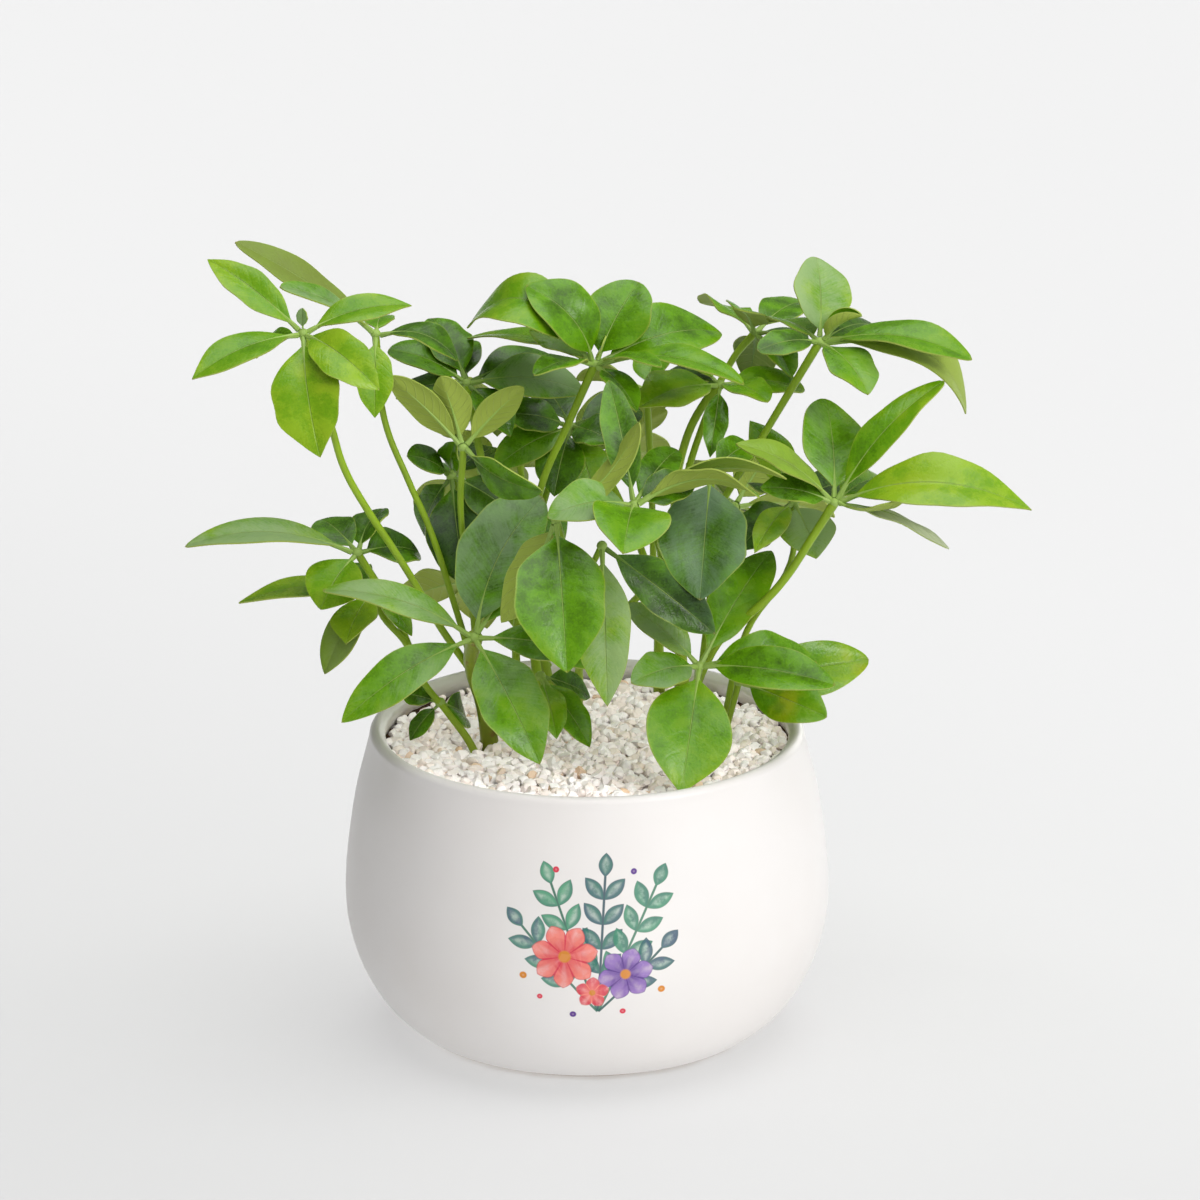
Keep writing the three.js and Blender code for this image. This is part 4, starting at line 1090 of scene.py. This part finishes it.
def build_knuckle(hub, faces):
    """The swollen joint where the leaflets of an umbrella meet."""
    knuckle = begin(bpy.ops.mesh.primitive_uv_sphere_add, segments=12, ring_count=8,
                    radius=KNUCKLE, location=Vector(hub) * MM)
    knuckle.scale = (1, 1, 0.8)
    knuckle.rotation_mode = "QUATERNION"
    knuckle.rotation_quaternion = Vector(seen(faces)).to_track_quat("Z", "Y")
    return marked(settle(knuckle, "knuckle"), 0.5)


def build_stem(name, patterns, finishes, settings):
    """A leafy stem: its blades, their ribs, its stalks and its knuckles, joined in one piece."""
    blade, rod = patterns
    flat, rings = corners(blade.data), corners(rod.data)
    (x, y, radius), umbrellas = STEMS[name]
    draw = random.Random(name)
    blades, spots, looks, ribs, green, knuckles = [], [], [], [], [], []
    for number, (hub, faces, thick, passes, letters, leaflets) in enumerate(umbrellas):
        route = [*passes, hub]
        thick *= 1 if thick >= MAIN_STEM else SLENDER
        radii = [thick, *[thick * WAIST] * (len(route) - 2), thick * HEAD]
        if number == 0:
            lean = [(b - a) * ROOT_LEAN for a, b in zip((x, y), passes[0])]
            route = [(x - lean[0], y - lean[1], ROOT_DEPTH), (x, y, GROUND), *route]
            radii = [radius, radius, *radii]
        green.append(build_stalk(route, radii, float(thick >= MAIN_STEM)))
        knuckles.append(build_knuckle(hub, faces))
        for letter, leaflet in zip(letters, leaflets):
            midrib = Midrib(hub, faces, leaflet)
            tone, sheen, olive, blotch, curl = LOOKS[letter]
            pointed = max(midrib.droop, tone > 0.75 > sheen)
            body, spot = blade_corners(flat, midrib, curl, pointed, settings.thickness, draw)
            blades.append(body)
            spots.append(spot)
            looks.append((tone + draw.uniform(-0.07, 0.07), sheen, olive, blotch))
            ribs.append(rib_corners(rings, midrib))
    leaves = copies(name, blade, blades, looks, "leaf_look", "FLOAT_COLOR")
    layer = leaves.data.attributes.new("leaf_spot", "FLOAT_VECTOR", "POINT")
    layer.data.foreach_set("vector", np.concatenate(spots).astype(np.float32).ravel())
    top, under, rib, stalk = finishes
    for finish in (top, under):
        leaves.data.materials.append(finish)
    edit(leaves, (bpy.ops.mesh.remove_doubles, {"threshold": 2e-5}))
    apply_modifier(leaves, "SOLIDIFY", thickness=settings.thickness, offset=0,
                   material_offset=1, material_offset_rim=1, use_even_offset=False)
    veins = copies("ribs", rod, ribs, looks, "leaf_look", "FLOAT_COLOR")
    veins.data.materials.append(rib)
    for pieces, finish in ((green, stalk), (knuckles, rib)):
        for piece in pieces:
            piece.data.materials.clear()
            piece.data.materials.append(finish)
    stem = join(f"{name}_foliage", [leaves, veins, *green, *knuckles])
    shade(stem, 50)
    place_piece(stem, "foliage", name)


# ------------------------------------------------------------------ operators
class PLANT_OT_pot(bpy.types.Operator):
    """Build the ceramic pot"""

    bl_idname = "umbrella_plant.pot"
    bl_label = "Ceramic Pot"

    def execute(self, context):
        build_pot(context.scene.plant_pot)
        return {"FINISHED"}


class PLANT_OT_soil(bpy.types.Operator):
    """Build the soil in the pot"""

    bl_idname = "umbrella_plant.soil"
    bl_label = "Potting Soil"

    def execute(self, context):
        build_soil(context.scene.plant_bed)
        return {"FINISHED"}


class PLANT_OT_gravel(bpy.types.Operator):
    """Strew the stone chips over the soil"""

    bl_idname = "umbrella_plant.gravel"
    bl_label = "Gravel"

    def execute(self, context):
        build_gravel(context.scene.plant_bed)
        return {"FINISHED"}


class PLANT_OT_foliage(bpy.types.Operator):
    """Grow every leafy stem"""

    bl_idname = "umbrella_plant.foliage"
    bl_label = "Leafy Stems"

    def execute(self, context):
        settings = context.scene.plant_foliage
        patterns = blade_pattern(), rib_pattern()
        finishes = leaf_top(settings), leaf_underside(settings), leaf_rib(), green_stalk(settings)
        for name in STEMS:
            build_stem(name, patterns, finishes, settings)
        for pattern in patterns:
            bpy.data.objects.remove(pattern)
        return {"FINISHED"}


class PLANT_OT_stage(bpy.types.Operator):
    """Set up the floor, the studio light and the camera"""

    bl_idname = "umbrella_plant.stage"
    bl_label = "Studio Stage"

    def execute(self, context):
        build_stage(context.scene.plant_stage)
        return {"FINISHED"}


# ------------------------------------------------------------------ stage
TARGET = Vector((4.8, 0, 165)) * MM  # the point in the middle of the picture


def studio_air(strength):
    """Even light that is dimmer from the left and from behind the object."""
    world = bpy.data.worlds.new("studio_air")
    world.use_nodes = True
    maker = Maker(world.node_tree, "Generated")
    x, y, z = maker.xyz(maker.place)
    level = (x * 0.8 - y * 0.35 + z * 0.25).smooth(-0.9, 0.9)
    light = maker.mix(level, (0.07, 0.07, 0.073), (0.45, 0.45, 0.45))
    sockets = world.node_tree.nodes["Background"].inputs
    maker.join(sockets["Color"], light)
    sockets["Strength"].default_value = strength
    bpy.context.scene.world = world


def soft_sun(name, towards, spread, strength, colour=(1.0, 1.0, 1.0), piece=None, state="INCLUDE"):
    """A lamp that shines on everything, or on one piece alone, or on all but that piece."""
    light = bpy.data.lights.new(name, "SUN")
    light.angle = math.radians(spread)
    light.energy = strength
    light.color = colour
    lamp = bpy.data.objects.new(name, light)
    bpy.context.scene.collection.objects.link(lamp)
    lamp.rotation_euler = Vector(towards).to_track_quat("Z", "Y").to_euler()
    if piece:
        links = bpy.data.collections.new(f"{name}_links")
        links.objects.link(piece)
        links.collection_objects[0].light_linking.link_state = state
        lamp.light_linking.receiver_collection = links
    return lamp


def build_stage(settings):
    """The floor, the air, the lamps and the camera."""
    floor = begin(bpy.ops.mesh.primitive_plane_add, size=40)
    settle(floor, "studio_floor")
    floor.data.materials.append(studio_floor())
    bpy.context.scene.view_settings.view_transform = "Standard"
    studio_air(settings.air)
    pot, gravel = bpy.data.objects["ceramic_pot"], bpy.data.objects["gravel_chips"]
    white = (1.0, 1.0, 1.0)
    soft_sun("top", (0.06, 0.04, 1.0), 55, settings.top)
    soft_sun("key", (0.75, -0.6, 0.55), 20, settings.key, (1.0, 0.995, 0.99), floor, "EXCLUDE")
    soft_sun("front", (0.3, -0.75, 0.8), 40, settings.front, white, floor, "EXCLUDE")
    wash = soft_sun("floor_wash", (0.0, 0.0, 1.0), 10, settings.wash, white, floor)
    wash.data.use_shadow = False
    for lamp in (
            soft_sun("pot_front", (0.5, -1.0, -0.3), 30, settings.low, white, pot),
            soft_sun("pot_back", (0.5, 1.0, 0.2), 30, settings.low, white, pot),
            soft_sun("bed", (0.35, -0.5, 0.8), 40, settings.bed, (1.0, 0.98, 0.985), gravel)):
        lamp.light_linking.blocker_collection = lamp.light_linking.receiver_collection
    camera = bpy.data.cameras.new("camera")
    camera.lens = settings.focal_length
    camera.sensor_width = 36
    camera.clip_end = 100
    holder = bpy.data.objects.new("camera", camera)
    bpy.context.scene.collection.objects.link(holder)
    back = Vector((0, -math.cos(settings.look_down), math.sin(settings.look_down)))
    holder.location = TARGET + back * settings.distance
    holder.rotation_euler = (math.pi / 2 - settings.look_down, 0, 0)
    bpy.context.scene.camera = holder


# ------------------------------------------------------------------ add-on
class PLANT_PT_panel(bpy.types.Panel):
    """Sizes, colours and builders of the potted umbrella plant"""

    bl_idname = "PLANT_PT_panel"
    bl_label = "Umbrella Plant"
    bl_space_type = "VIEW_3D"
    bl_region_type = "UI"
    bl_category = "Umbrella Plant"

    def draw(self, context):
        for group, operators in GROUPS.items():
            box = self.layout.box()
            settings = getattr(context.scene, group)
            for name in settings.__annotations__:
                box.prop(settings, name)
            for operator in operators:
                box.operator(operator.bl_idname)


GROUPS = {
    "plant_pot": (PLANT_OT_pot,),
    "plant_bed": (PLANT_OT_soil, PLANT_OT_gravel),
    "plant_foliage": (PLANT_OT_foliage,),
    "plant_stage": (PLANT_OT_stage,),
}
SETTINGS = {
    "plant_pot": PotSettings, "plant_bed": BedSettings, "plant_foliage": FoliageSettings,
    "plant_stage": StageSettings,
}
CLASSES = (
    *SETTINGS.values(), PLANT_OT_pot, PLANT_OT_soil, PLANT_OT_gravel, PLANT_OT_foliage,
    PLANT_OT_stage, PLANT_PT_panel,
)


def register():
    for each in CLASSES:
        bpy.utils.register_class(each)
    for name, group in SETTINGS.items():
        setattr(bpy.types.Scene, name, PointerProperty(type=group))


def unregister():
    for name in SETTINGS:
        delattr(bpy.types.Scene, name)
    for each in reversed(CLASSES):
        bpy.utils.unregister_class(each)


def main():
    register()
    bpy.ops.umbrella_plant.pot()
    bpy.ops.umbrella_plant.soil()
    bpy.ops.umbrella_plant.gravel()
    bpy.ops.umbrella_plant.foliage()
    bpy.ops.umbrella_plant.stage()


if __name__ == "__main__":
    main()
